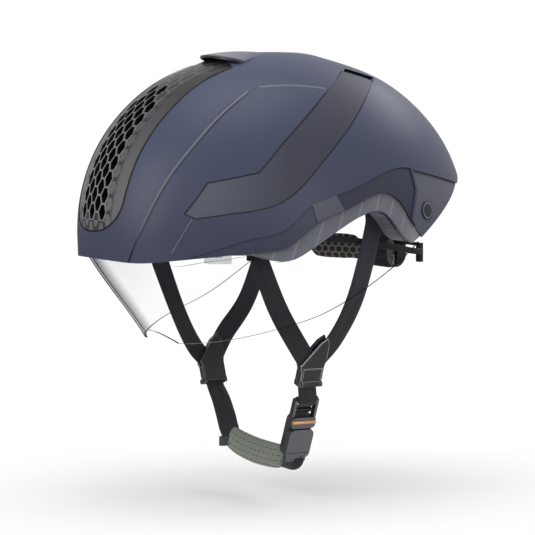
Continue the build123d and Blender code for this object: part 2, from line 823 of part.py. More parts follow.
front_layer = divider_plate + webbing_thickness / 2 + seat_gap
rear_layer = front_layer + webbing_thickness + 0.1 * slack
for side, word in ((1, "left"), (-1, "right")):
    out = (side, 0, -tilt_sine)
    front_stations = (
        ((side * (front_anchor_x - anchor_slot_offset), front_anchor_y, front_anchor_z - slack), (side, 0, 0)),
        (strap_place(side, 0.757, -0.477, 0.08), (side, 0, 0)),
        (strap_place(side, 0.722, -0.32, -0.31), (side, -0.2, -0.08)),
        (divider_place(side, -0.651 * divider_half_height, 0.503 * divider_half_height, front_layer), out),
        (divider_place(side, 0, -0.27 * divider_half_height, front_layer), out),
    )
    save(webbing(front_stations, webbing_width, webbing_thickness), "front_strap_" + word)
    rear_stations = (
        ((side * (rear_anchor_x - anchor_slot_offset), rear_anchor_y, rear_anchor_z - slack), (side, 0, 0)),
        (strap_place(side, 0.689, 0.467, 0.37), (side, 0, 0)),
        (strap_place(side, 0.7, 0.45, 0.25), (side, 0, 0)),
        (strap_place(side, 0.752, 0.288, -0.238), (side, 0, -0.1)),
        (divider_place(side, 0.869 * divider_half_height, 0.954 * divider_half_height, rear_layer), out),
        (divider_place(side, 0, -0.27 * divider_half_height, rear_layer), out),
    )
    save(webbing(rear_stations, webbing_width, webbing_thickness), "rear_strap_" + word)

# Strap dividers: a base with side walls and ears, a fixed face and a hinged locking lever
pin_out = divider_plate + divider_pocket + 1.5 * slack
pin_up = -divider_half_height + 0.5 * slack
wall_inner = webbing_width / 2 + 0.3 * slack
wall_outer = wall_inner + divider_cover
face_out = divider_plate + divider_pocket
for side, word in ((1, "left"), (-1, "right")):
    ear_plane = Plane(origin=divider_place(side, 0, 0, 0), x_dir=divider_plane(side, 0).y_dir, z_dir=(0, 1, 0))
    pin_point = (pin_up, side * pin_out)
    with BuildPart() as base:
        with BuildSketch(divider_plane(side, 0)):
            divider_sketch(side, divider_shares)
        extrude(amount=divider_plate)
        for edge in (-1, 1):
            with BuildSketch(divider_plane(side, divider_plate)):
                with Locations((edge * (wall_inner + wall_outer) / 2, wall_up)):
                    Rectangle(divider_cover, wall_height)
            extrude(amount=divider_pocket)
            with BuildSketch(ear_plane.offset(edge * (wall_inner + wall_outer) / 2)):
                with Locations(pin_point):
                    Circle(lever_knuckle_radius)
                with Locations((pin_up, pin_point[1] / 2)):
                    Rectangle(2 * lever_knuckle_radius, abs(pin_point[1]))
            extrude(amount=divider_cover / 2, both=True)
        with BuildSketch(ear_plane):
            with Locations(pin_point):
                Circle(lever_pin_radius)
        extrude(amount=2 * wall_outer, both=True, mode=Mode.SUBTRACT)
    save(base.part, "divider_base_" + word)
    with BuildPart() as face:
        with BuildSketch(divider_plane(side, face_out)):
            divider_sketch(side, divider_shares)
            with Locations((0, lever_top - divider_half_height)):
                Rectangle(2 * (wall_inner - 0.05 * slack), 2 * divider_half_height, mode=Mode.SUBTRACT)
            with Locations((0, pin_up)):
                Rectangle(3 * wall_outer, 2 * lever_knuckle_radius + 0.6 * slack, mode=Mode.SUBTRACT)
        extrude(amount=divider_cover)
    save(face.part, "divider_face_" + word)
    with BuildPart() as lever:
        with BuildSketch(divider_plane(side, face_out)):
            with Locations((0, (pin_up + lever_top - seat_gap) / 2)):
                Rectangle(2 * (wall_inner - seat_gap), lever_top - seat_gap - pin_up)
        extrude(amount=divider_cover)
        with BuildSketch(ear_plane):
            with Locations(pin_point):
                Circle(lever_knuckle_radius)
        extrude(amount=wall_inner - seat_gap, both=True)
        with BuildSketch(ear_plane):
            with Locations(pin_point):
                Circle(lever_pin_radius + 0.05 * slack)
        extrude(amount=wall_outer, both=True, mode=Mode.SUBTRACT)
    save(lever.part, "divider_lever_" + word)
    with BuildPart() as pin:
        with BuildSketch(ear_plane):
            with Locations(pin_point):
                Circle(lever_pin_radius)
        extrude(amount=wall_outer, both=True)
    save(pin.part, "divider_pin_" + word)

# Buckle frame on the left: along is +Y, up follows the strap, out looks away from the face
buckle_sine = math.sin(math.radians(buckle_tilt))
buckle_cosine = math.cos(math.radians(buckle_tilt))


def buckle_place(along, up, out):
    """A place in the buckle's own frame."""
    return (
        buckle_x + up * buckle_sine + out * buckle_cosine,
        buckle_y + along,
        buckle_z + up * buckle_cosine - out * buckle_sine,
    )


def buckle_plane(out):
    """The plane of the buckle at a distance out."""
    return Plane(origin=buckle_place(0, 0, out), x_dir=(0, 1, 0), z_dir=(buckle_cosine, 0, -buckle_sine))


buckle_end_plane = Plane(
    origin=buckle_place(0, 0, 0), x_dir=(buckle_sine, 0, buckle_cosine), z_dir=(0, 1, 0)
)
half = buckle_height / 2
split = 0.15 * slack
tongue_top = half * 0.42

# Buckle catch: a rounded plate with a T slot across it and a raised head with the bar
with BuildPart() as catch:
    with BuildSketch(buckle_plane(-buckle_half_thickness)):
        RectangleRounded(2 * buckle_half_width, buckle_height, buckle_half_width * 0.45)
    extrude(amount=buckle_half_thickness - split)
    with BuildSketch(buckle_plane(-split)):
        with Locations((0, (half + tongue_top) / 2 + seat_gap)):
            RectangleRounded(2 * buckle_half_width, half - tongue_top - 2 * seat_gap, buckle_half_width * 0.3)
    extrude(amount=buckle_half_thickness * 0.85)
    with BuildSketch(buckle_end_plane):
        with Locations((rail_up, -split - rail_lip / 2)):
            Rectangle(rail_half_width + 2 * rail_clearance, rail_lip + slack)
        with Locations((rail_up, -split - rail_lip * 1.5)):
            Rectangle(2 * (rail_half_width + rail_clearance), rail_lip + 2 * rail_clearance)
    extrude(amount=2 * buckle_half_width, both=True, mode=Mode.SUBTRACT)
    with BuildSketch(buckle_end_plane):
        with Locations((bar_up, buckle_half_thickness * 0.85 - split)):
            Circle(bar_radius)
    extrude(amount=2 * buckle_half_width, both=True, mode=Mode.SUBTRACT)
    with BuildSketch(buckle_plane(-split)):
        with Locations((0, buckle_magnet_up)):
            Circle(buckle_magnet_radius)
    extrude(amount=-buckle_magnet_thickness, mode=Mode.SUBTRACT)
    for edge in (-1, 1):
        with BuildSketch(buckle_plane(-loop_half_thickness)):
            with Locations((edge * (buckle_half_width - loop_cheek / 2), half + loop_height / 2 - slack)):
                Rectangle(loop_cheek, loop_height + 2 * slack)
        extrude(amount=2 * loop_half_thickness - split)
save(catch.part, "buckle_catch")

# Ladder loop bars that the strap weaves round
with BuildPart() as ladder_bars:
    for bar in (lower_bar_up, upper_bar_up):
        with BuildSketch(buckle_end_plane):
            with Locations((bar, 0)):
                Circle(bar_radius)
        extrude(amount=buckle_half_width - loop_cheek, both=True)
save(ladder_bars.part, "ladder_bars")

with BuildPart() as copper_bar:
    with BuildSketch(buckle_end_plane):
        with Locations((bar_up, buckle_half_thickness * 0.85 - split)):
            Circle(bar_radius)
    extrude(amount=buckle_half_width - 0.4 * slack, both=True)
save(copper_bar.part, "buckle_bar")

# Buckle tongue: the half that slides out sideways on its T rail
with BuildPart() as tongue:
    with BuildSketch(buckle_plane(split)):
        with Locations((0, (tongue_top - half) / 2)):
            RectangleRounded(2 * buckle_half_width, half + tongue_top, buckle_half_width * 0.45)
    extrude(amount=buckle_half_thickness - split)
    with BuildSketch(buckle_end_plane):
        with Locations((rail_up, -rail_lip / 2)):
            Rectangle(rail_half_width, rail_lip + 4 * split)
        with Locations((rail_up, -split - rail_lip * 1.5)):
            Rectangle(2 * rail_half_width, rail_lip - rail_clearance)
    extrude(amount=buckle_half_width - 0.5 * slack, both=True)
    with BuildSketch(buckle_plane(split)):
        with Locations((0, buckle_magnet_up)):
            Circle(buckle_magnet_radius)
    extrude(amount=buckle_magnet_thickness, mode=Mode.SUBTRACT)
    with BuildSketch(buckle_plane(buckle_half_thickness)):
        with Locations((0, -half * 0.72)):
            Rectangle(3 * buckle_half_width, 0.8 * slack)
    extrude(amount=-0.4 * slack, mode=Mode.SUBTRACT)
    with BuildSketch(buckle_plane(split)):
        with Locations((0, -half - tongue_loop / 2 + slack)):
            Rectangle(webbing_width + 2 * slack, tongue_loop)
    extrude(amount=buckle_half_thickness - 2 * split - slack)
save(tongue.part, "buckle_tongue")

with BuildPart() as catch_magnet:
    with BuildSketch(buckle_plane(-split)):
        with Locations((0, buckle_magnet_up)):
            Circle(buckle_magnet_radius)
    extrude(amount=-buckle_magnet_thickness)
save(catch_magnet.part, "catch_magnet")
with BuildPart() as tongue_magnet:
    with BuildSketch(buckle_plane(split)):
        with Locations((0, buckle_magnet_up)):
            Circle(buckle_magnet_radius)
    extrude(amount=buckle_magnet_thickness)
save(tongue_magnet.part, "tongue_magnet")

# Lower strap on the left: out of the divider, over the upper bar and behind the lower one
left_out = (1, 0, -tilt_sine)
clear = bar_radius + webbing_thickness / 2 + 0.2 * slack
lower_stations = (
    (divider_place(1, 0, -0.57 * divider_half_height, front_layer + 0.6 * slack), left_out),
    (divider_place(1, 0, -1.1 * divider_half_height, front_layer + 0.2 * slack), left_out),
    (buckle_place(0, upper_bar_up + 2.2 * slack, clear), (buckle_cosine, 0, -buckle_sine)),
    (buckle_place(0, upper_bar_up - slack, clear), (buckle_cosine, 0, -buckle_sine)),
    (buckle_place(0, lower_bar_up + slack, -clear), (buckle_cosine, 0, -buckle_sine)),
    (buckle_place(0, lower_bar_up - 3 * slack, -clear), (buckle_cosine, 0, -buckle_sine)),
)
save(webbing(lower_stations, webbing_width, webbing_thickness), "lower_strap_left")


def chin_place(x_share, y_share, z_share):
    """A place on the chin strap, in shares of the harness unit."""
    return (x_share * harness_unit, y_share * harness_unit, z_share * harness_unit)


# Chin strap: from the right divider round under the chin to the buckle's tongue
pad_run = (
    (chin_place(-0.4, -0.038, -1.283), (-0.1, -0.95, 0.3)),
    (chin_place(-0.3, -0.034, -1.308), (0, -0.95, 0.32)),
    (chin_place(-0.1, -0.026, -1.335), (0, -0.95, 0.32)),
    (chin_place(0.1, -0.023, -1.343), (0, -0.95, 0.32)),
    (chin_place(0.28, -0.024, -1.34), (0, -0.95, 0.32)),
)
chin_stations = (
    (divider_place(-1, 0, -0.57 * divider_half_height, front_layer + 0.6 * slack), (-1, 0, -tilt_sine)),
    (divider_place(-1, 0, -1.15 * divider_half_height, front_layer + 0.2 * slack), (-1, 0, -tilt_sine)),
    (chin_place(-0.58, -0.039, -1.022), (-0.93, -0.2, -0.35)),
    (chin_place(-0.515, -0.036, -1.13), (-0.8, -0.5, -0.35)),
    (chin_place(-0.465, -0.038, -1.215), (-0.5, -0.85, -0.1)),
    *pad_run,
    (buckle_place(-0.4 * slack, -half - tongue_loop - 1.5 * slack, 1.6 * slack), (0.45, -0.9, 0.1)),
    (buckle_place(0, -half - tongue_loop + 0.8 * slack, 2.0 * slack), (buckle_cosine, -0.45, -buckle_sine)),
)
save(webbing(chin_stations, webbing_width, webbing_thickness), "chin_strap")

# Chin pad: a soft crowned sleeve that the chin strap runs through
pad_sections = (
    (chin_place(-0.445, -0.042, -1.268), 0.45),
    (chin_place(-0.42, -0.04, -1.277), 0.8),
    (chin_place(-0.3, -0.034, -1.308), 1.0),
    (chin_place(-0.1, -0.026, -1.335), 1.08),
    (chin_place(0.1, -0.023, -1.343), 1.05),
    (chin_place(0.26, -0.024, -1.341), 0.9),
    (chin_place(0.31, -0.024, -1.337), 0.5),
)
with BuildPart() as chin_pad:
    for index, (place, share) in enumerate(pad_sections):
        before = pad_sections[max(index - 1, 0)][0]
        after = pad_sections[min(index + 1, len(pad_sections) - 1)][0]
        along = unit(tuple(end - start for start, end in zip(before, after)))
        across = unit(cross(along, (0, -0.95, 0.32)))
        with BuildSketch(Plane(origin=place, x_dir=across, z_dir=along)):
            Ellipse(pad_height * (0.5 + share) / 3, pad_thickness * share / 2)
    loft()
    add(webbing(chin_stations[4:], webbing_width + 2 * seat_gap, webbing_thickness + 2 * seat_gap), mode=Mode.SUBTRACT)
save(chin_pad.part, "chin_pad")

# Loose end of the chin strap beyond the pad
tail_stations = (
    (chin_place(-0.4475, -0.077, -1.297), (0, -0.95, 0.1)),
    (chin_place(-0.52, -0.077, -1.3), (0.1, -0.95, 0.1)),
    (chin_place(-0.585, -0.078, -1.308), (0.2, -0.95, 0.1)),
)
save(webbing(tail_stations, tail_width, webbing_thickness), "strap_tail")

# Rear retention dial: pinion, two racks, housing, cover, knob and screw
pitch_radius = gear_module * pinion_teeth / 2
base_radius = pitch_radius * math.cos(math.radians(20))
rack_pitch = math.pi * gear_module
tooth_half = (rack_pitch / 2 - backlash) / 2
gear_back = dial_y + gear_width / 2


def dial_plane(y):
    """The XZ plane through the dial's axis at a distance back."""
    return Plane(origin=(0, y, dial_z), x_dir=(1, 0, 0), z_dir=(0, -1, 0))


def roll(angle):
    """The involute function."""
    return math.tan(angle) - angle


tooth_rows = []
for radius_share in (0.94, 0.98, 1.05, 1.12, 1.2):
    radius = pitch_radius * radius_share
    pressure = math.acos(min(base_radius / radius, 1))
    half_angle = tooth_half / pitch_radius + roll(math.radians(20)) - roll(pressure)
    tooth_rows.append((radius, half_angle))
pinion_outline = []
for tooth in range(pinion_teeth):
    centre = math.pi / 2 + 2 * math.pi * tooth / pinion_teeth
    root = pitch_radius - 1.25 * gear_module
    foot_angle = tooth_rows[0][1]
    pinion_outline.append((root * math.cos(centre - foot_angle), root * math.sin(centre - foot_angle)))
    for radius, half_angle in tooth_rows:
        turn = centre - half_angle
        pinion_outline.append((radius * math.cos(turn), radius * math.sin(turn)))
    for radius, half_angle in reversed(tooth_rows):
        turn = centre + half_angle
        pinion_outline.append((radius * math.cos(turn), radius * math.sin(turn)))
    pinion_outline.append((root * math.cos(centre + foot_angle), root * math.sin(centre + foot_angle)))
housing_back = dial_y + housing_depth / 2
housing_front = dial_y - gear_width / 2 - 0.4 * slack
knob_front = housing_back + 0.4 * slack
with BuildPart() as dial_pinion:
    with BuildSketch(dial_plane(gear_back)):
        Polygon(*pinion_outline, align=None)
    extrude(amount=gear_width)
    with BuildSketch(dial_plane(knob_front)):
        Circle(shaft_radius)
    extrude(amount=knob_front - gear_back)
    with BuildSketch(dial_plane(knob_front)):
        Circle(screw_radius)
    extrude(amount=2 * gear_width, mode=Mode.SUBTRACT)
save(dial_pinion.part, "dial_pinion")

with BuildPart() as dial_knob:
    with BuildSketch(dial_plane(knob_front + dial_height)):
        Circle(dial_radius)
    extrude(amount=dial_height)
    chamfer(dial_knob.edges().group_by(Axis.Y)[-1], length=1.2 * slack)
    with BuildSketch(dial_plane(knob_front + dial_height)):
        with PolarLocations(dial_radius + 0.5 * slack, dial_grip_count):
            Circle(0.95 * slack)
    extrude(amount=dial_height, mode=Mode.SUBTRACT)
    with BuildSketch(dial_plane(knob_front + dial_height)):
        Circle(dial_radius * 0.55)
    extrude(amount=0.8 * slack, mode=Mode.SUBTRACT)
    with BuildSketch(dial_plane(knob_front + dial_height)):
        Circle(screw_radius)
    extrude(amount=dial_height, mode=Mode.SUBTRACT)
save(dial_knob.part, "dial_knob")

with BuildPart() as dial_screw:
    with BuildSketch(dial_plane(knob_front + dial_height)):
        Circle(screw_radius)
    extrude(amount=dial_height + 0.8 * gear_width)
    with BuildSketch(dial_plane(knob_front + dial_height)):
        Circle(2 * screw_radius)
    extrude(amount=0.8 * slack)
save(dial_screw.part, "dial_screw")

slot_low = pitch_radius - rack_addendum_share * gear_module - 0.3 * slack
slot_high = pitch_radius - rack_addendum_share * gear_module + rack_height + 0.3 * slack
with BuildPart() as dial_housing:
    with BuildSketch(dial_plane(housing_back)):
        RectangleRounded(2 * housing_half_width, 2 * housing_half_height, housing_half_height * 0.5)
    extrude(amount=housing_back - housing_front)
    with BuildSketch(dial_plane(gear_back + 0.2 * slack)):
        Circle(pitch_radius + 1.4 * gear_module)
        for flip in (-1, 1):
            with Locations((0, flip * (slot_low + slot_high) / 2)):
                Rectangle(3 * housing_half_width, slot_high - slot_low)
    extrude(amount=housing_depth, mode=Mode.SUBTRACT)
    with BuildSketch(dial_plane(housing_back)):
        Circle(shaft_radius + 0.05 * slack)
    extrude(amount=housing_depth, mode=Mode.SUBTRACT)
save(dial_housing.part, "dial_housing")
with BuildPart() as housing_cover:
    with BuildSketch(dial_plane(housing_front)):
        RectangleRounded(2 * housing_half_width, 2 * housing_half_height, housing_half_height * 0.5)
    extrude(amount=cover_thickness)
save(housing_cover.part, "housing_cover")

rack_rows = []
tooth_tip = pitch_radius - rack_addendum_share * gear_module
tooth_root = pitch_radius + 1.3 * gear_module
slope = math.tan(math.radians(20))
tip_half = tooth_half - rack_addendum_share * gear_module * slope
root_half = tooth_half + (tooth_root - pitch_radius) * slope
for index in range(rack_tooth_count):
    centre = (index - rack_lead_teeth + 0.5) * rack_pitch
    rack_rows.append((centre - root_half, tooth_root))
    rack_rows.append((centre - tip_half, tooth_tip))
    rack_rows.append((centre + tip_half, tooth_tip))
    rack_rows.append((centre + root_half, tooth_root))
rack_back = tooth_tip + rack_height
rack_outline = (
    (-rack_tail, rack_back),
    (-rack_tail, tooth_root),
    *rack_rows,
    (rack_reach - band_tab, tooth_root),
    (rack_reach - band_tab, -band_height / 2),
    (rack_reach, -band_height / 2),
    (rack_reach, rack_back),
)
for side, word in ((1, "left"), (-1, "right")):
    with BuildPart() as rack:
        with BuildSketch(dial_plane(gear_back)):
            Polygon(*[(side * x, side * z) for x, z in rack_outline], align=None)
        extrude(amount=gear_width)
    save(rack.part, "rack_" + word)
    band_stations = []
    for x_share, y_share, z_share, face in band_rows:
        place = (side * x_share * harness_unit, y_share * harness_unit, z_share * harness_unit)
        band_stations.append((place, (side * face[0], face[1], 0)))
    save(webbing(band_stations, band_height, band_thickness), "headband_" + word)

# Yoke with the two rear pads, and the hanger that carries the dial
yoke_stations = []
for x_share, y_share, z_share in (*yoke_rows, *[(-x, y, z) for x, y, z in reversed(yoke_rows[:-1])]):
    place = (x_share * harness_unit, y_share * harness_unit, z_share * harness_unit)
    yoke_stations.append((place, (-x_share * 0.55, -1, 0)))
save(webbing(yoke_stations, band_height, band_thickness), "cradle_yoke")

for side, word in ((1, "left"), (-1, "right")):
    look = unit((-side * rear_pad_turn, -1, 0))
    low = (side * rear_pad_x, rear_pad_y, rear_pad_z)
    top = tuple(place + way * rear_pad_thickness for place, way in zip(low, look))
    along = unit((-1, side * rear_pad_turn, 0))
    with BuildPart() as rear_pad:
        with BuildSketch(Plane(origin=low, x_dir=along, z_dir=look)):
            Ellipse(rear_pad_half_length, rear_pad_half_height)
        with BuildSketch(Plane(origin=top, x_dir=along, z_dir=look)):
            Ellipse(rear_pad_half_length * 0.85, rear_pad_half_height * 0.7)
        loft()
    save(rear_pad.part, "rear_pad_" + word)

with BuildPart() as hanger:
    with BuildSketch(Plane.YZ.offset(-hanger_width / 2)):
        Polygon(*[(y * harness_unit, z * harness_unit) for y, z in hanger_shares], align=None)
    extrude(amount=hanger_width)
    with Locations((0, hanger_peg_y, hanger_peg_z)):
        Box(hanger_width, peg_length, peg_height)
save(hanger.part, "cradle_hanger")

with BuildPart() as headband_pegs:
    for side in (-1, 1):
        with Locations((side * peg_x, peg_y, peg_z)):
            Box(peg_width, peg_length, peg_height)
save(headband_pegs.part, "headband_pegs")
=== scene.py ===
# %% [markdown]
# A time trial helmet, dressed for the camera
#
# The CAD model already holds every rigid part at its true size. This script
# gives each part its finish, rebuilds the soft parts as cloth and webbing,
# and lights the whole as in a product studio. All lengths are in metres,
# the front looks along -Y, the wearer's left is +X and up is +Z.

# %% Load the frame
import math

import bmesh
import bpy
import numpy as np
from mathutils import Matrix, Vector


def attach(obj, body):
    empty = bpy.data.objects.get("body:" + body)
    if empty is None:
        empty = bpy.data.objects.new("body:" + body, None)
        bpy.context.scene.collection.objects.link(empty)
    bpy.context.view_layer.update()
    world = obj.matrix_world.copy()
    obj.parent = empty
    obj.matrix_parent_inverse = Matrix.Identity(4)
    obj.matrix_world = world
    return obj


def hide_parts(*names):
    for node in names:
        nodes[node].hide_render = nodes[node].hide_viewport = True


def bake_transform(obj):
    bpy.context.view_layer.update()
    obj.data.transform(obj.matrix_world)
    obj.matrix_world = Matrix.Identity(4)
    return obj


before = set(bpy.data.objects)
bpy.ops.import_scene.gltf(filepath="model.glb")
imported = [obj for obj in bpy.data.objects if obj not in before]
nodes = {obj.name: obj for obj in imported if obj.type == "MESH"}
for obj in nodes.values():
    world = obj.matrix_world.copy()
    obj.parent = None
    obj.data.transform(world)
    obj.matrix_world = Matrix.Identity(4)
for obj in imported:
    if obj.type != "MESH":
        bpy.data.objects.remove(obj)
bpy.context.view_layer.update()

# %% [markdown]
# The helmet's own form
#
# The shell is a superellipse turned about the vertical axis and stretched to
# two different reaches, one in front and one behind. Knowing that formula
# lets the script shade the shell as the smooth surface that it is, although
# its mesh is made of small flat triangles.

# %% Sizes of the form
MM = 0.001
ROUNDNESS = 2.1
SHELL = dict(half=107 * MM, front=137 * MM, rear=151 * MM, crown=148 * MM, belt=24 * MM)
CAVITY = dict(half=80 * MM, front=110 * MM, rear=118 * MM, crown=118 * MM, belt=24 * MM)
WALL_LEAN = 1.5 / 54
SIDES = ((1, "left"), (-1, "right"))


def form_directions(points, form):
    """The way a helmet form looks at each point.

    The form is where (flat distance)^n + (height share)^n = 1, and its
    outward direction is the gradient of the left side. Below the belt the
    wall leans in a little towards its foot.
    """
    x, y, z = points.T
    reach = np.where(y < 0, form["front"], form["rear"])
    flat = np.sqrt((x / form["half"]) ** 2 + (y / reach) ** 2) + 1e-9
    share = np.clip((z - form["belt"]) / (form["crown"] - form["belt"]), 0, None)
    side = flat ** (ROUNDNESS - 2)
    below = np.clip((form["belt"] - z) / (12 * MM), 0, 1)
    rise = share ** (ROUNDNESS - 1) / (form["crown"] - form["belt"]) - below * WALL_LEAN / form["half"]
    way = np.stack([side * x / form["half"] ** 2, side * y / reach**2, rise], axis=1)
    return way / np.linalg.norm(way, axis=1, keepdims=True)


def form_depth(points, form):
    """How deep each point lies inside a form whose half width, reaches and crown all shrink by that depth.

    The form's equation is solved for the shrink by three secant steps.
    """
    x, y, z = points.T
    reach = np.where(y < 0, form["front"], form["rear"])

    def excess(depth):
        lean = np.clip(form["belt"] - z, 0, None) * WALL_LEAN
        flat = np.sqrt((x / (form["half"] - depth - lean)) ** 2 + (y / (reach - depth - lean)) ** 2)
        share = np.clip((z - form["belt"]) / (form["crown"] - form["belt"] - depth), 0, None)
        return flat**ROUNDNESS + share**ROUNDNESS - 1

    low, high = np.zeros(len(points)), np.full(len(points), 2 * MM)
    low_value, high_value = excess(low), excess(high)
    for _ in range(3):
        gap = np.where(np.abs(high_value - low_value) < 1e-12, 1e-12, high_value - low_value)
        middle = high - high_value * (high - low) / gap
        low, low_value = high, high_value
        high, high_value = middle, excess(middle)
    return high


# %% [markdown]
# The visor's form
#
# Each level of the lens is half an ellipse, and its half width and reach
# grow with height. A cubic through four levels gives both at any height.

# %% Sizes of the lens
LENS_LEVELS = np.array([-56.0, -20.16, 10.0, 45.0]) * MM
LENS_HALF = np.polyfit(LENS_LEVELS, np.array([0.71, 0.8215, 0.914, 0.949]) * 107 * MM, 3)
LENS_FRONT = np.polyfit(LENS_LEVELS, np.array([0.614, 0.806, 0.966, 1.06]) * 137 * MM, 3)
LENS_REAR = 148 * MM


def lens_directions(points):
    """The way the lens looks at each point: the gradient of its ellipse at that height."""
    x, y, z = points.T
    half, slope = np.polyval(LENS_HALF, z), np.polyval(np.polyder(LENS_HALF), z)
    front, front_slope = np.polyval(LENS_FRONT, z), np.polyval(np.polyder(LENS_FRONT), z)
    ahead = y < 0
    reach = np.where(ahead, front, LENS_REAR)
    reach_slope = np.where(ahead, front_slope, 0.0)
    rise = -(x**2 * slope / half**3 + y**2 * reach_slope / reach**3)
    way = np.stack([x / half**2, y / reach**2, rise], axis=1)
    return way / np.linalg.norm(way, axis=1, keepdims=True)


# %% [markdown]
# Copies with true shading
#
# A copy of a CAD mesh is merged, and each corner of a triangle that lies on
# a known form gets that form's own direction as its normal. Walls and edges
# keep their flat normals, so the steps in the shell stay crisp.

# %% Smooth copies
def link(name, data):
    """A new object for a mesh, a lamp or a camera, in the scene."""
    piece = bpy.data.objects.new(name, data)
    bpy.context.scene.collection.objects.link(piece)
    return piece


def mesh_points(mesh):
    """All vertices of a mesh as one array."""
    flat = np.empty(len(mesh.vertices) * 3)
    mesh.vertices.foreach_get("co", flat)
    return flat.reshape(-1, 3)


def merged_copy(node_name, piece_name):
    """A copy of a CAD node's mesh with its doubled points merged."""
    shape = bmesh.new()
    shape.from_mesh(nodes[node_name].data)
    bmesh.ops.remove_doubles(shape, verts=shape.verts, dist=1e-6)
    bmesh.ops.dissolve_degenerate(shape, edges=shape.edges, dist=1e-7)
    mesh = bpy.data.meshes.new(piece_name)
    shape.to_mesh(mesh)
    shape.free()
    mesh.materials.clear()
    piece = link(piece_name, mesh)
    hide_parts(node_name)
    return piece


def face_arrays(mesh):
    """The corners' vertex numbers, the faces' flat normals and the face that each corner belongs to."""
    corners = np.empty(len(mesh.loops), np.int64)
    mesh.loops.foreach_get("vertex_index", corners)
    normals = np.empty(len(mesh.polygons) * 3)
    mesh.polygons.foreach_get("normal", normals)
    totals = np.empty(len(mesh.polygons), np.int64)
    mesh.polygons.foreach_get("loop_total", totals)
    owner = np.repeat(np.arange(len(mesh.polygons)), totals)
    return corners, normals.reshape(-1, 3), owner


def face_middles(mesh):
    """The middle of each face."""
    flat = np.empty(len(mesh.polygons) * 3)
    mesh.polygons.foreach_get("center", flat)
    return flat.reshape(-1, 3)


def paint_faces(mesh, numbers, *finishes):
    """Adds finishes to a mesh and gives each face the number of its finish, where 0 is the first that it had."""
    for finish in finishes:
        mesh.materials.append(finish.material)
    mesh.polygons.foreach_set("material_index", np.asarray(numbers, np.int32))


def shade_by_form(piece, direction_rules, limit=0.93):
    """Gives each corner the direction of the form that its face lies on, or the face's flat normal."""
    mesh = piece.data
    points = mesh_points(mesh)
    corners, flat, owner = face_arrays(mesh)
    result = flat[owner].copy()
    best = np.full(len(flat), limit)
    for rule in direction_rules:
        ways = rule(points)[corners]
        agreement = np.einsum("ij,ij->i", ways, flat[owner])
        face_score = np.full(len(flat), 2.0)
        np.minimum.at(face_score, owner, np.abs(agreement))
        better = face_score > best
        best = np.where(better, face_score, best)
        chosen = better[owner]
        result[chosen] = (ways * np.sign(agreement)[:, None])[chosen]
    mesh.polygons.foreach_set("use_smooth", np.ones(len(flat), bool))
    mesh.normals_split_custom_set(result.tolist())
    print(piece.name, "triangles", len(flat), "on a known form", int((best > limit).sum()))
    return best > limit


# %% [markdown]
# Surfaces along a path
#
# Straps, pads and bands are one kind of shape: a flat rounded section that
# is carried along a path. Two rows of numbers say how wide and how deep the
# section is at each place, so a strap stays even and a pad swells.

# %% Sleeves along a path
def smooth_path(rows, steps):
    """A smooth curve through the rows: each span is a cubic whose ends look along the neighbours."""
    rows = np.asarray(rows, float)
    padded = np.vstack([2 * rows[0] - rows[1], rows, 2 * rows[-1] - rows[-2]])
    t = np.linspace(0, 1, steps, endpoint=False)[None, :, None]
    before, start, end, after = (padded[k : k + len(rows) - 1, None, :] for k in range(4))
    curve = 0.5 * (
        2 * start
        + (end - before) * t
        + (2 * before - 5 * start + 4 * end - after) * t**2
        + (3 * start - before - 3 * end + after) * t**3
    )
    return np.vstack([curve.reshape(-1, rows.shape[1]), rows[-1:]])


def unit_rows(rows):
    """Each row at length 1."""
    return rows / np.maximum(np.linalg.norm(rows, axis=1, keepdims=True), 1e-12)


def grid_quads(rows, columns, closed):
    """The four corner numbers of each face of a grid, row by row; a closed grid joins its last column to its first."""
    row, column = np.meshgrid(np.arange(rows - 1), np.arange(columns if closed else columns - 1), indexing="ij")
    following = (column + 1) % columns
    corners = [row * columns + column, row * columns + following]
    corners += [(row + 1) * columns + following, (row + 1) * columns + column]
    return np.stack(corners, -1).reshape(-1, 4)


def smooth_faces(mesh, degrees=50):
    """Smooth shading with the edges kept sharp where faces meet at more than an angle."""
    mesh.polygons.foreach_set("use_smooth", np.ones(len(mesh.polygons), bool))
    mesh.set_sharp_from_angle(angle=math.radians(degrees))


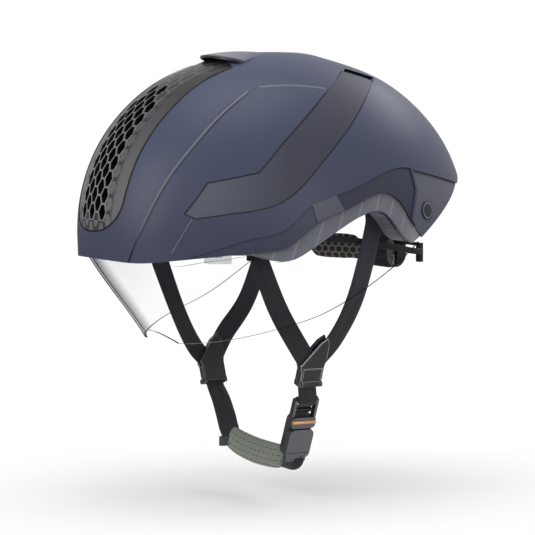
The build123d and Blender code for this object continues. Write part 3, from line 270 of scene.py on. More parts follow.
def sleeve(name, stations, steps=10, across=12, edge=6.0):
    """A closed flat tube through stations of (place, look, half width, half depth).

    A point of the section lies at a share u from -1 to 1 across, and its
    depth is (1 - |u|^edge)^(1/2), so a high edge number gives flat webbing
    with rounded edges and a low one gives a crowned pad.
    """
    table = np.array([[*place, *look, wide, deep] for place, look, wide, deep in stations])
    rows = smooth_path(table, steps)
    places, widths, depths = rows[:, :3], rows[:, 6], rows[:, 7]
    along = unit_rows(np.gradient(places, axis=0))
    side = unit_rows(np.cross(along, rows[:, 3:6]))
    out = unit_rows(np.cross(side, along))
    turn = np.linspace(0, math.pi, across + 1)
    u = -np.cos(turn)
    crown = np.sqrt(np.clip(1 - np.abs(u) ** edge, 0, 1))
    shares = np.concatenate([u, u[-2:0:-1]])
    heights = np.concatenate([crown, -crown[-2:0:-1]])
    ring = len(shares)
    grid = (
        places[:, None]
        + side[:, None] * (shares[None, :] * widths[:, None])[..., None]
        + out[:, None] * (heights[None, :] * depths[:, None])[..., None]
    )
    count = len(places)
    first, last = list(range(ring)), [(count - 1) * ring + k for k in range(ring)]
    mesh = bpy.data.meshes.new(name)
    mesh.from_pydata(grid.reshape(-1, 3).tolist(), [], grid_quads(count, ring, True).tolist() + [first[::-1], last])
    length = np.concatenate([[0], np.cumsum(np.linalg.norm(np.diff(places, axis=0), axis=1))])
    chart = [np.broadcast_to(length[:, None], (count, ring)), shares[None, :] * widths[:, None]]
    chart = np.stack(chart, -1).reshape(-1, 2)
    corners = face_arrays(mesh)[0]
    mesh.uv_layers.new(name="UVMap").data.foreach_set("uv", chart[corners].ravel())
    shape = bmesh.new()
    shape.from_mesh(mesh)
    if shape.calc_volume(signed=True) < 0:
        bmesh.ops.reverse_faces(shape, faces=shape.faces)
    shape.to_mesh(mesh)
    shape.free()
    smooth_faces(mesh)
    print(name, "length %.0f mm" % (length[-1] / MM), "faces", len(mesh.polygons))
    return link(name, mesh)


# %% [markdown]
# Small tools for materials
#
# A finish is a Principled shader with a little pattern in its colour,
# roughness and bump. The tools below keep each finish to a few lines: one
# starts a material, one adds a node, and one does a sum on two sockets.

# %% Material tools
def tone(red, green, blue):
    """A colour from its 0 to 255 screen values, as the linear one that shaders use."""
    share = np.array([red, green, blue]) / 255
    return (*np.where(share <= 0.04045, share / 12.92, ((share + 0.055) / 1.055) ** 2.4), 1.0)


class Finish:
    """A material under construction: its shader, its nodes and the sockets between them."""

    def __init__(self, name, colour, roughness, **values):
        self.material = bpy.data.materials.new(name)
        self.material.use_nodes = True
        self.tree = self.material.node_tree
        self.shader = self.tree.nodes["Principled BSDF"]
        self.shader.inputs["Base Color"].default_value = colour
        self.shader.inputs["Roughness"].default_value = roughness
        for key, value in values.items():
            self.shader.inputs[key.replace("_", " ")].default_value = value
        self.place = self.add("TexCoord").outputs["Object"]

    def add(self, kind, **values):
        """A new node of a kind, with its settings or input values."""
        node = self.tree.nodes.new("ShaderNode" + kind)
        for key, value in values.items():
            if key in node.inputs:
                node.inputs[key].default_value = value
            else:
                setattr(node, key, value)
        return node

    def join(self, source, target):
        """A link from one socket to another."""
        self.tree.links.new(source, target)

    def sum(self, operation, first, second=0.0, third=0.0):
        """One Math node; each value is a number or a socket."""
        node = self.add("Math", operation=operation)
        for socket, value in zip(node.inputs, (first, second, third)):
            if isinstance(value, (int, float)):
                socket.default_value = value
            else:
                self.join(value, socket)
        return node.outputs[0]

    def plus(self, first, *others):
        """The sum of numbers or sockets."""
        for other in others:
            first = self.sum("ADD", first, other)
        return first

    def times(self, first, *others):
        """The product of numbers or sockets."""
        for other in others:
            first = self.sum("MULTIPLY", first, other)
        return first

    def size(self, value):
        """A socket's value without its sign."""
        return self.sum("ABSOLUTE", value)

    def wrapped(self, value, half):
        """A socket's value brought back into the range from -half to half by whole steps."""
        return self.sum("WRAP", value, half, -half)

    def folded(self, value, fold):
        """A socket's value as a zigzag that rises from 0 to fold and falls back."""
        return self.sum("PINGPONG", value, fold)

    def parts(self, vector):
        """The X, Y and Z of a vector socket."""
        node = self.add("SeparateXYZ")
        self.join(vector, node.inputs[0])
        return node.outputs

    def noise(self, scale, detail=2.0, vector=None):
        """Soft random values from 0 to 1, at a scale in features per metre."""
        node = self.add("TexNoise", Scale=scale, Detail=detail)
        self.join(vector or self.place, node.inputs["Vector"])
        return node.outputs["Fac"]

    def ramp(self, value, low, high, start=0.0, end=1.0):
        """Maps a socket from the range low..high to start..end, held at both ends."""
        node = self.add("MapRange")
        for key, number in zip(("From Min", "From Max", "To Min", "To Max"), (low, high, start, end)):
            node.inputs[key].default_value = number
        self.join(value, node.inputs["Value"])
        return node.outputs["Result"]

    def mix(self, factor, first, second):
        """A colour between two, by a factor socket."""
        node = self.add("Mix", data_type="RGBA")
        self.join(factor, node.inputs["Factor"])
        first_socket = [s for s in node.inputs if s.identifier == "A_Color"][0]
        second_socket = [s for s in node.inputs if s.identifier == "B_Color"][0]
        for socket, value in ((first_socket, first), (second_socket, second)):
            if isinstance(value, tuple):
                socket.default_value = value
            else:
                self.join(value, socket)
        return [s for s in node.outputs if s.identifier == "Result_Color"][0]

    def inside(self, across, up, corners, soft=0.0003):
        """1 inside a polygon whose corners run clockwise in metres, else 0, from two sockets."""
        edges = []
        for (x1, y1), (x2, y2) in zip(corners, corners[1:] + corners[:1]):
            length = math.hypot(x2 - x1, y2 - y1)
            right_x, right_y = (y2 - y1) / length, (x1 - x2) / length
            side = self.plus(self.times(across, right_x), self.times(up, right_y))
            edges.append(self.ramp(self.plus(side, -(x1 * right_x + y1 * right_y)), -soft, soft))
        return self.times(*edges)

    def colour(self, socket):
        """Sends a colour socket to the shader."""
        self.join(socket, self.shader.inputs["Base Color"])

    def chart(self):
        """The piece's own chart: along and across, in metres."""
        return self.parts(self.add("UVMap", uv_map="UVMap").outputs[0])[:2]

    def bump(self, height, depth, strength=1.0):
        """Raises the surface by a height socket, depth metres from 0 to 1."""
        node = self.add("Bump", Strength=strength, Distance=depth)
        self.join(height, node.inputs["Height"])
        self.join(node.outputs[0], self.shader.inputs["Normal"])

    def grain(self, colour, amount, scale, depth):
        """Fine mottling of the colour and a matching bump, the least that any real surface has."""
        speckle = self.noise(scale, 3.0)
        darker = tuple(c * (1 - amount) for c in colour[:3]) + (1.0,)
        lighter = tuple(min(c * (1 + amount), 1.0) for c in colour[:3]) + (1.0,)
        self.colour(self.mix(speckle, darker, lighter))
        self.bump(speckle, depth)


def plain(name, values, roughness, amount, scale, depth, **settings):
    """A finish of one colour, from its screen values, with fine mottling."""
    finish = Finish(name, tone(*values), roughness, **settings)
    finish.grain(tone(*values), amount, scale, depth)
    return finish


# %% [markdown]
# A honeycomb pattern
#
# Pads and panels of this helmet repeat six-sided cells. The pattern takes
# the distance to the nearest of two sets of cell centres, measured as a
# hexagon measures it, so it is 0 in a cell's middle and 1 at its wall.

# %% Honeycomb
def honeycomb(finish, first, second, pitch):
    """How near a place is to a cell wall, 0 to 1, from two sockets in metres and the pitch."""
    tall = pitch * math.sqrt(3)
    found = []
    for shift in (0.0, 0.5):
        x = finish.size(finish.wrapped(finish.plus(first, shift * pitch), pitch / 2))
        y = finish.size(finish.wrapped(finish.plus(second, shift * tall), tall / 2))
        slanted = finish.plus(finish.times(x, 0.5), finish.times(y, math.sqrt(3) / 2))
        found.append(finish.sum("MAXIMUM", x, slanted))
    return finish.times(finish.sum("MINIMUM", *found), 2 / pitch)


# %% [markdown]
# Paints
#
# The shell is matte navy paint with a faint orange peel, a little paler
# towards its foot, and one small facet there carries a painted highlight.
# The skirt over the ears is a darker grey of the same paint as painted
# shade, its front lighter upwards as painted light, the tail panels are a
# paler grey of the same paint, and the side inlay is a warmer grey with a
# painted highlight at its front end that darkens along its arm.

# %% Shell paint
PEEL = 900.0
FACET = [(-23.4 * MM, 47.4 * MM), (-5.4 * MM, 53.3 * MM), (1.1 * MM, 43.2 * MM), (-20 * MM, 35.8 * MM)]
navy = tone(64, 71, 101)
paint = Finish("shell navy paint and painted highlight", navy, 0.42, Specular_IOR_Level=0.42, Coat_Weight=0.12, Coat_Roughness=0.35)
peel, cloud = paint.noise(PEEL, 1.0), paint.noise(14.0, 2.0)
_, paint_y, paint_z = paint.parts(paint.place)
tinted = paint.mix(paint.ramp(paint_z, 20 * MM, 100 * MM), tone(74, 79, 104), navy)
clouded = paint.mix(paint.ramp(cloud, 0.3, 0.7, 0.0, 0.2), tinted, tone(84, 89, 112))
# One small facet is painted paler: a painted highlight.
paint.colour(paint.mix(paint.inside(paint_y, paint_z, FACET), clouded, tone(96, 99, 114)))
paint.join(paint.ramp(peel, 0.2, 0.8, 0.39, 0.46), paint.shader.inputs["Roughness"])
paint.bump(peel, 0.012 * MM)

# %% Paint and painted shade on the lower facets, the tail panels, painted highlights on the beads, and the inlays
# The skirt is painted darker than the shell: painted shade.
skirt_paint_and_shade = Finish("skirt paint and painted shade", tone(56, 60, 77), 0.45, Specular_IOR_Level=0.4)
_, skirt_y, skirt_z = skirt_paint_and_shade.parts(skirt_paint_and_shade.place)
front_share = skirt_paint_and_shade.ramp(skirt_y, -22 * MM, -2 * MM, 1.0, 0.0)
slant = skirt_paint_and_shade.ramp(skirt_y, -100 * MM, -20 * MM, -100 * MM, -20 * MM)
slope_line = skirt_paint_and_shade.plus(skirt_z, skirt_paint_and_shade.times(slant, -0.28))
# lit is painted light: the front of the skirt gets lighter upwards along its slope.
lit = skirt_paint_and_shade.mix(skirt_paint_and_shade.ramp(slope_line, 28 * MM, 52 * MM), tone(68, 72, 92), tone(80, 85, 107))
skirt_paint_and_shade.colour(skirt_paint_and_shade.mix(front_share, tone(62, 66, 84), lit))
skirt_paint_and_shade.bump(skirt_paint_and_shade.noise(PEEL, 1.0), 0.01 * MM)
tail_paint = plain("tail panel paint", (104, 107, 122), 0.44, 0.05, PEEL, 0.01 * MM, Specular_IOR_Level=0.4)
# The beads' pale colour is a painted highlight along the creases.
bead_highlight = plain("crease bead paint", (112, 114, 128), 0.4, 0.05, PEEL, 0.01 * MM, Specular_IOR_Level=0.45)
trim_black = plain("shell edge trim", (22, 22, 25), 0.5, 0.1, 2000.0, 0.006 * MM)
inlay = Finish("inlay grey paint and painted highlight", tone(80, 82, 94), 0.46, Specular_IOR_Level=0.45)
# The inlay is painted lighter at its front end, a painted highlight, and darker along its arm.
arm_share = inlay.ramp(inlay.parts(inlay.place)[1], -85 * MM, -35 * MM)
inlay.colour(inlay.mix(arm_share, tone(98, 101, 117), tone(62, 65, 82)))
inlay.bump(inlay.noise(1500.0, 2.0), 0.01 * MM)

# %% [markdown]
# Plastics and metals
#
# Fittings are moulded black plastic with a fine spark finish, the buckle is
# a graphite one with a little metal in it. Each tail disc has one plain
# ring, drawn from the distance to its middle. The magnets are nickel plated
# and the buckle's bar is rose gold coloured.

# %% Moulded plastics
fitting = plain("fitting black plastic", (38, 38, 41), 0.45, 0.14, 3000.0, 0.012 * MM)
knob_plastic = plain("knob dark plastic", (46, 46, 50), 0.38, 0.12, 2600.0, 0.01 * MM)
clip_plastic = plain("divider plastic", (50, 51, 54), 0.36, 0.12, 2800.0, 0.01 * MM)
# A paler grey for the dividers' broken edges: a painted highlight.
edge_highlight = plain("divider rim painted highlight", (176, 176, 182), 0.4, 0.06, 3000.0, 0.006 * MM)
latch_metal = plain("buckle graphite", (116, 114, 120), 0.32, 0.1, 3200.0, 0.008 * MM, Metallic=0.25)
DISC_MIDDLE, RING_RADIUS = (91.1 * MM, 77.5 * MM, 39.6 * MM), 5.2 * MM
disc_plastic = Finish("badge disc plastic", tone(40, 41, 46), 0.3)
disc_x, disc_y, disc_z = disc_plastic.parts(disc_plastic.place)
offsets = [disc_plastic.plus(s, -c) for s, c in zip((disc_plastic.size(disc_x), disc_y, disc_z), DISC_MIDDLE)]
away = disc_plastic.sum("SQRT", disc_plastic.plus(*[disc_plastic.times(item, item) for item in offsets]))
from_ring = disc_plastic.size(disc_plastic.plus(away, -RING_RADIUS))
ring = disc_plastic.ramp(from_ring, 0.3 * MM, 0.6 * MM, 1.0, 0.0)
disc_plastic.colour(disc_plastic.mix(ring, tone(42, 43, 48), tone(132, 134, 142)))
disc_plastic.bump(ring, 0.15 * MM)

# %% Steel and copper
nickel = plain("magnet nickel", (176, 178, 182), 0.28, 0.06, 4000.0, 0.006 * MM, Metallic=1.0)
rose_metal = plain("copper bar", (246, 190, 140), 0.3, 0.05, 3000.0, 0.006 * MM, Metallic=0.85)

# %% [markdown]
# The vent cover's cells
#
# The holes are real, cut in the CAD, and their walls are painted near black
# as painted shade. The same six-sided pattern goes on round them: as blind
# cells painted dark as shade up to the hood, and as a shallow engraving,
# its groove painted dark as shade, that fades towards the rim. The plate is
# painted paler towards its foot as a painted reflection, and its webs paler
# as a painted highlight. The cover's chart gives each point its distance
# across and its distance up along the surface, so the drawn cells meet the
# real webs.

# %% Vent cover finish
CELL_ACROSS, CELL_ALONG = 6.5 * MM, 11.6 * MM
CELL_SIDE, CELL_FLAT, CELL_TIP = 3.7 * MM, 1.6 * MM, 5.1 * MM
LEAN = math.hypot(CELL_TIP, CELL_SIDE - CELL_FLAT)


def cell_edge(finish, across, up):
    """How far a place lies outside the nearest cell's outline, in metres; it is negative inside."""
    near = []
    for shift in (0.0, 0.5):
        x = finish.size(finish.wrapped(finish.plus(across, shift * 2 * CELL_ACROSS), CELL_ACROSS))
        y = finish.size(finish.wrapped(finish.plus(up, shift * CELL_ALONG), CELL_ALONG / 2))
        slanted = finish.plus(finish.times(x, CELL_TIP / LEAN), finish.times(y, (CELL_SIDE - CELL_FLAT) / LEAN))
        slanted = finish.plus(slanted, -CELL_SIDE * CELL_TIP / LEAN)
        near.append(finish.sum("MAXIMUM", finish.plus(y, -CELL_TIP), slanted))
    return finish.sum("MINIMUM", *near)


cover_nylon = Finish("vent graphite nylon and painted light", tone(58, 58, 63), 0.32, Specular_IOR_Level=0.55)
vent_u, vent_v = cover_nylon.chart()
from_cell, aside = cell_edge(cover_nylon, vent_u, vent_v), cover_nylon.size(vent_u)
below_hood = cover_nylon.ramp(vent_v, 135 * MM, 148 * MM, 1.0, 0.0)
line_sides = cover_nylon.ramp(aside, 21 * MM, 24.5 * MM, 1.0, 0.0)
line_foot = cover_nylon.ramp(vent_v, -16 * MM, -12 * MM)
cell_sides = cover_nylon.ramp(aside, 16.8 * MM, 18.2 * MM, 1.0, 0.0)
cell_foot = cover_nylon.ramp(vent_v, -6.5 * MM, -5.5 * MM)
cell_zone = cover_nylon.times(cell_sides, cell_foot, below_hood)
beside_cells = cover_nylon.ramp(cell_zone, 0.0, 1.0, 1.0, 0.0)
groove = cover_nylon.ramp(cover_nylon.size(from_cell), 0.42 * MM, 0.65 * MM, 1.0, 0.0)
line = cover_nylon.times(groove, line_sides, line_foot, below_hood, beside_cells)
cell = cover_nylon.times(cover_nylon.ramp(from_cell, -0.45 * MM, 0.05 * MM, 1.0, 0.0), cell_zone)
sunk_in_and_shade = cover_nylon.sum("MAXIMUM", line, cell)
up_share = cover_nylon.ramp(vent_v, 0.0, 100 * MM)
# The plate is painted paler towards its foot as a painted reflection, and the webs between cells paler as a painted
# highlight.
plate_reflection_tone = cover_nylon.mix(up_share, tone(114, 113, 118), tone(36, 36, 39))
web_highlight_tone = cover_nylon.mix(up_share, tone(140, 139, 144), tone(84, 84, 90))
top_tone = cover_nylon.mix(cover_nylon.times(cell_zone, 0.85), plate_reflection_tone, web_highlight_tone)
# Blind cells and engraved grooves are painted near black: painted shade in the recesses.
cover_nylon.colour(cover_nylon.mix(cover_nylon.times(sunk_in_and_shade, 0.95), top_tone, tone(10, 10, 12)))
cover_nylon.bump(cover_nylon.plus(cover_nylon.noise(2600.0, 2.0), cover_nylon.times(sunk_in_and_shade, -6.0)), 0.04 * MM)
# The walls of the real holes are painted near black: painted shade.
hole_wall_shade = plain("vent cell wall painted shade", (20, 20, 22), 0.5, 0.1, 2600.0, 0.006 * MM)
dark_line = plain("gap shadow line", (14, 14, 16), 0.7, 0.1, 2000.0, 0.004 * MM)

# %% Hood finishes
hood_paint = Finish("hood paint and painted reflection", navy, 0.34, Specular_IOR_Level=0.5)
# Towards the lip the hood is painted pale grey, a painted reflection of the overhead lamp, fading to navy at its heel.
hood_highlight_share = hood_paint.ramp(hood_paint.parts(hood_paint.place)[1], -47 * MM, -12 * MM, 1.0, 0.0)
hood_paint.colour(hood_paint.mix(hood_highlight_share, navy, tone(148, 150, 162)))
hood_paint.bump(hood_paint.noise(PEEL, 1.0), 0.01 * MM)
lip_nylon = plain("hood lip graphite", (48, 48, 53), 0.3, 0.1, 2600.0, 0.01 * MM, Specular_IOR_Level=0.6)

# %% [markdown]
# Foam
#
# The liner is expanded polystyrene: packed beads with fine seams between
# them. A Voronoi pattern gives the beads. The band that shows below the
# shell carries a few pale slanted lines, and a painted highlight makes it
# paler towards the rear.

# %% Bead foam
BEADS = 420.0
foam = Finish("bead foam", tone(118, 122, 132), 0.72, Specular_IOR_Level=0.3)
bead_cells = foam.add("TexVoronoi", feature="DISTANCE_TO_EDGE", Scale=BEADS)
foam.join(foam.place, bead_cells.inputs["Vector"])
seam = foam.ramp(bead_cells.outputs["Distance"], 0.0, 0.07)
foam_x, foam_y, foam_z = foam.parts(foam.place)
slanted_way = foam.plus(foam_y, foam.times(foam_z, -0.36))
stripe = foam.ramp(foam.folded(slanted_way, 6.8 * MM), 0.4 * MM, 0.9 * MM, 1.0, 0.0)
outer_side = foam.ramp(foam.size(foam_x), 78 * MM, 82 * MM)
low_band = foam.ramp(foam_z, 62 * MM, 66 * MM, 1.0, 0.0)
body_tone = foam.mix(seam, tone(124, 128, 137), tone(136, 139, 148))
# Paler towards the rear: a painted highlight.
body_tone = foam.mix(foam.ramp(foam_y, 50 * MM, 78 * MM), body_tone, tone(190, 192, 198))
foam.colour(foam.mix(foam.times(stripe, outer_side, low_band, 0.55), body_tone, tone(176, 176, 182)))
foam.bump(seam, 0.02 * MM, 0.5)
dark_foam = plain("shaded channel foam", (12, 12, 14), 0.9, 0.1, BEADS, 0.01 * MM, Specular_IOR_Level=0.1)

# %% [markdown]
# Cloth
#
# Webbing shows slanted ribs that meet at its middle, the chin sleeve shows
# rows of knitted loops, and the inner pads are open honeycomb foam cloth.
# Straps carry their own chart in metres, so a pattern follows their bends.

# %% Webbing
web = Finish("strap webbing", tone(34, 34, 37), 0.78, Sheen_Weight=0.25, Sheen_Roughness=0.5)
web_u, web_v = web.chart()
zigzag = web.plus(web_u, web.folded(web_v, 3.5 * MM))
rib = web.ramp(web.folded(zigzag, 0.55 * MM), 0.0, 0.55 * MM)
weave = web.times(rib, web.ramp(web.folded(web_v, 0.4 * MM), 0.0, 0.4 * MM, 0.7, 1.0))
_, web_y, web_z = web.parts(web.place)
# The webbing is lighter and bluer towards its top and rear.
upper_rear_share = web.times(web.ramp(web_z, -40 * MM, 20 * MM), web.ramp(web_y, 0.0, 30 * MM, 0.25, 1.0))
woven = web.mix(weave, tone(25, 25, 29), tone(56, 56, 62))
web.colour(web.mix(upper_rear_share, woven, web.mix(weave, tone(58, 61, 70), tone(92, 96, 107))))
web.bump(weave, 0.22 * MM)

# %% Knitted sleeve
KNIT_STITCH, KNIT_ROW = 2.1 * MM, 1.9 * MM
knit = Finish("chin sleeve knit", tone(116, 126, 114), 0.85, Sheen_Weight=0.3, Sheen_Roughness=0.6)
knit_u, knit_v = knit.chart()
loops = knit.sum("SINE", knit.times(knit_u, 2 * math.pi / KNIT_STITCH))
loops = knit.ramp(knit.plus(loops, knit.times(knit.folded(knit_v, KNIT_ROW / 2), 1200.0)), -0.6, 1.6)
dash = knit.folded(knit.plus(knit_u, knit.times(knit_v, 0.45)), 3.1 * MM)
row_line = knit.ramp(knit.folded(knit_v, KNIT_ROW), 0.0, 0.6 * MM, 1.0, 0.0)
dashes = knit.times(knit.ramp(dash, 1.2 * MM, 1.6 * MM), row_line)
knit.colour(knit.mix(dashes, knit.mix(loops, tone(104, 112, 102), tone(148, 155, 142)), tone(58, 64, 60)))
knit.bump(knit.plus(loops, knit.times(dashes, -0.6)), 0.35 * MM)

# %% Honeycomb cloths
CLOTH_CELL = 5.2 * MM


def cell_cloth(name, wall_tone, cell_tone, depth, axes):
    """A pad's cloth with open six-sided cells, laid along two of the object's axes."""
    cloth = Finish(name, wall_tone, 0.8, Sheen_Weight=0.2)
    sockets = cloth.parts(cloth.place)
    rim = cloth.ramp(honeycomb(cloth, sockets[axes[0]], sockets[axes[1]], CLOTH_CELL), 0.66, 0.8)
    fuzz = cloth.noise(2500.0, 2.0)
    cloth.colour(cloth.mix(rim, cell_tone, cloth.mix(fuzz, wall_tone, tuple(min(c * 1.3, 1) for c in wall_tone))))
    cloth.bump(cloth.plus(rim, cloth.times(fuzz, 0.15)), depth)
    return cloth


grid_cloth = cell_cloth("grid pad cloth", tone(58, 58, 61), tone(22, 22, 24), 1.1 * MM, (0, 1))
rear_cloth = cell_cloth("rear pad cloth", tone(150, 144, 138), tone(60, 58, 57), 0.7 * MM, (0, 2))
brow_cloth = plain("brow pad cloth", (44, 44, 47), 0.88, 0.25, 1800.0, 0.08 * MM, Sheen_Weight=0.35)
hook_cloth = Finish("hook patch cloth", tone(26, 26, 28), 0.9, Sheen_Weight=0.4)
hook_cells = hook_cloth.add("TexVoronoi", Scale=900.0)
hook_cloth.join(hook_cloth.place, hook_cells.inputs["Vector"])
hooks = hook_cells.outputs["Distance"]
hook_cloth.colour(hook_cloth.mix(hook_cloth.ramp(hooks, 0.1, 0.7), tone(44, 44, 47), tone(16, 16, 18)))
hook_cloth.bump(hooks, 0.4 * MM)

# %% [markdown]
# The lens
#
# A thin clear lens passes nearly all light where it faces the eye and shows
# its tint where it turns away, with a dark line at its very outline. Here
# the shader's alpha follows that rule, so straps behind the lens stay lit
# and clear. Its lower edge is a little denser, and its front carries a
# little painted shade.

# %% Lens material
lens = Finish("clear lens", tone(58, 62, 92), 0.03, Specular_IOR_Level=0.6)
facing = lens.add("LayerWeight", Blend=0.28).outputs["Facing"]
haze = lens.ramp(lens.noise(9.0, 1.0), 0.3, 0.7, 0.0, 0.01)
_, lens_y, lens_z = lens.parts(lens.place)
low_edge = lens.ramp(lens_z, -55 * MM, -20 * MM, 0.02, 0.0)
# front_shade is painted shade: the lens is made a little denser towards its front.
front_shade = lens.ramp(lens_y, -130 * MM, -100 * MM, 0.1, 0.0)
turned_away = lens.ramp(facing, 0.4, 0.74, 0.01, 0.5)
outline = lens.ramp(facing, 0.68, 0.76, 0.0, 0.5)
lens.join(lens.plus(turned_away, haze, low_edge, outline, front_shade), lens.shader.inputs["Alpha"])
rim_tint = plain("lens rim", (16, 20, 36), 0.2, 0.1, 1200.0, 0.004 * MM, Alpha=0.95)
clear_block = plain("clear magnet pad", (120, 124, 140), 0.15, 0.05, 1500.0, 0.004 * MM, Alpha=0.25)

# %% [markdown]
# The rigid skin
#
# Shell, inlays, vent cover and liner get their smooth copies. The forms
# that each can lie on are given with it: the shell's for outer faces and
# the head cavity's for inner ones. How deep a face lies in the shell's form
# tells the skirt, the tail panels and the shell's foot apart.

# %% Shell and inlays
def dress(piece, finish, body=None):
    """Gives a piece its finish and its material slot, and rides it on its body."""
    piece.data.materials.clear()
    piece.data.materials.append(finish.material)
    if body:
        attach(piece, body)
    return piece


def shell_ways(points):
    """The outer form's directions."""
    return form_directions(points, SHELL)


def cavity_ways(points):
    """The head cavity's directions."""
    return form_directions(points, CAVITY)


SKIRT_DEPTH, TAIL_DEPTH, DEPTH_SLACK = 0.8, 1.4, 0.2
SHELL_WAIST, SKIRT_REAR, TAIL_FRONT = 75 * MM, 64 * MM, 55 * MM
shell = dress(merged_copy("outer_shell", "shell"), paint, "helmet")
on_shell_form = shade_by_form(shell, [shell_ways])
middles = face_middles(shell.data)
depth, low = form_depth(middles, SHELL) / MM, middles[:, 2] < SHELL_WAIST
skirt = on_shell_form & low & (np.abs(depth - SKIRT_DEPTH) < DEPTH_SLACK) & (middles[:, 1] < SKIRT_REAR)
tail = on_shell_form & low & (np.abs(depth - TAIL_DEPTH) < DEPTH_SLACK) & (middles[:, 1] > TAIL_FRONT)
foot = ~on_shell_form & low & (face_arrays(shell.data)[1][:, 2] < -0.4) & (depth > -1.4)
numbers = np.where(skirt, 1, np.where(tail, 2, np.where(foot, 3, 0)))
paint_faces(shell.data, numbers, skirt_paint_and_shade, tail_paint, trim_black)
print("skirt faces", int(skirt.sum()), "tail panel faces", int(tail.sum()), "trim faces", int(foot.sum()))
for _, word in SIDES:
    panel = dress(merged_copy("side_inlay_" + word, "inlay_" + word), inlay, "helmet")
    shade_by_form(panel, [shell_ways])

# %% Vent cover
COVER_FOOT, COVER_TOP, CELLS_START = 20, 147.9, 41 * MM
cover = dress(merged_copy("front_vent_cover", "vent_cover"), cover_nylon, "helmet")
plate = shade_by_form(cover, [shell_ways])
paint_faces(cover.data, ~plate, hole_wall_shade)
heights = np.linspace(COVER_FOOT, COVER_TOP, 400) * MM
share = np.clip((heights - SHELL["belt"]) / (SHELL["crown"] - SHELL["belt"]), 0, 1)
middle_line = np.stack([heights * 0, -SHELL["front"] * (1 - share**ROUNDNESS) ** (1 / ROUNDNESS), heights], axis=1)
slope = np.abs(shell_ways(middle_line)[:, 1])
arc = np.concatenate([[0], np.cumsum(np.diff(heights) / ((slope[1:] + slope[:-1]) / 2))])
arc -= np.interp(CELLS_START, heights, arc)
spots = mesh_points(cover.data)[face_arrays(cover.data)[0]]
chart = np.stack([spots[:, 0], np.interp(spots[:, 2], heights, arc)], axis=1)
cover.data.uv_layers.new(name="UVMap").data.foreach_set("uv", chart.ravel())

# %% Liner and tail discs
CHANNEL_HALF, CHANNEL_FOOT, CHANNEL_LIP, CHANNEL_BED = 34 * MM, 25 * MM, 2, 20
liner = dress(merged_copy("eps_liner", "liner"), foam, "helmet")
shade_by_form(liner, [shell_ways, cavity_ways])
middles = face_middles(liner.data)
sunk = form_depth(middles, SHELL) / MM
channel = (np.abs(middles[:, 0]) < CHANNEL_HALF) & (middles[:, 1] < 0) & (middles[:, 2] > CHANNEL_FOOT)
channel &= (sunk > CHANNEL_LIP) & (sunk < CHANNEL_BED)
paint_faces(liner.data, channel, dark_foam)
badges = dress(merged_copy("tail_badges", "tail_discs"), disc_plastic, "helmet")
shade_by_form(badges, [shell_ways])

# %% [markdown]
# Crease beads
#
# The raised front band ends in a rounded crease that catches the light, a
# crest runs on behind it, and a short crease lies before each side inlay.
# Each is a thin bead carried along its line, with every place of the line
# first pushed onto the shell's form. Its pale colour is a painted highlight.

# %% Beads on the creases
def on_shell(points, lift):
    """Points pushed along the form's direction until they lie a lift above the shell's form."""
    for _ in range(2):
        points = points + shell_ways(points) * form_depth(points, SHELL)[:, None]
    return points + shell_ways(points) * lift


def shell_line(name, spots, half, deep, finish, slot, **section):
    """A thin piece carried along places on the shell, looking the way that the form looks there."""
    stations = [(spot, look, half, deep) for spot, look in zip(spots, shell_ways(spots))]
    return dress(sleeve(name, stations, steps=1, **section), finish, "helmet")


BEAD_LINES = {
    "crease": (1.1, 0.55, 0.35, [
        (35, -130, 10.5), (47, -124, 31.5), (54, -116, 52), (58, -105.5, 69.5), (61, -90, 88),
        (60, -71, 105), (57.2, -46.7, 122.5),
    ]),
    "crest": (1.2, 0.35, 0.1, [(57.4, -38, 126), (61.5, -18, 126.4), (65.8, 9.2, 124)]),
    "short": (0.6, 0.35, 0.1, [(73.5, -99, 38.5), (69, -105, 26), (64.5, -110, 15)]),
}
for side, word in SIDES:
    for kind, (half, deep, lift, rows) in BEAD_LINES.items():
        spots = on_shell(smooth_path(np.array(rows) * (side, 1, 1) * MM, 10), lift * MM)
        name = kind + "_bead_" + word
        shell_line(name, spots, half * MM, deep * MM, bead_highlight, "shell_navy", across=6, edge=2.5)

# %% [markdown]
# Gap lines
#
# The vent cover and the side inlays are separate pieces, so a thin dark gap
# shows round each. Its outline is given in one view and the form's equation
# gives the third coordinate. The line round the cover follows the cover's
# own height above the form.

# %% Gap lines round the vent cover and the inlays
GAP_DEPTH, VENT_GAP_HALF, INLAY_GAP_HALF = 0.12 * MM, 0.65 * MM, 0.32 * MM
VENT_GAP_LIFT, INLAY_GAP_LIFT = 0.3 * MM, 0.02 * MM
ROW_REACH, USUAL_TOP = 4 * MM, 0.9 * MM


def on_form(across, up, seen_from_side):
    """Places on the form: from (y, z) rows seen from the side, or from (x, z) rows seen from the front."""
    share = np.clip((up - SHELL["belt"]) / (SHELL["crown"] - SHELL["belt"]), 0, 1)
    level = (1 - share**ROUNDNESS) ** (2 / ROUNDNESS)
    if seen_from_side:
        reach = np.where(across < 0, SHELL["front"], SHELL["rear"])
        rest = SHELL["half"] * np.sqrt(np.clip(level - (across / reach) ** 2, 0, None))
        return np.stack([rest, across, up], axis=1)
    rest = -SHELL["front"] * np.sqrt(np.clip(level - (across / SHELL["half"]) ** 2, 0, None))
    return np.stack([across, rest, up], axis=1)


def gap_line(name, places, half, lift, slot):
    """A thin dark line along places on the form, at one lift or at a lift for each place."""
    spots = places + shell_ways(places) * np.reshape(lift, (-1, 1))
    return shell_line(name, spots, half, GAP_DEPTH, dark_line, slot, across=4, edge=2.0)


def dense(runs):
    """Rows along runs: a run of two rows is straight and a longer one is a smooth curve."""
    lines = [np.linspace(run[0], run[1], 9) if len(run) == 2 else smooth_path(run, 6) for run in runs]
    return np.vstack(lines) * MM


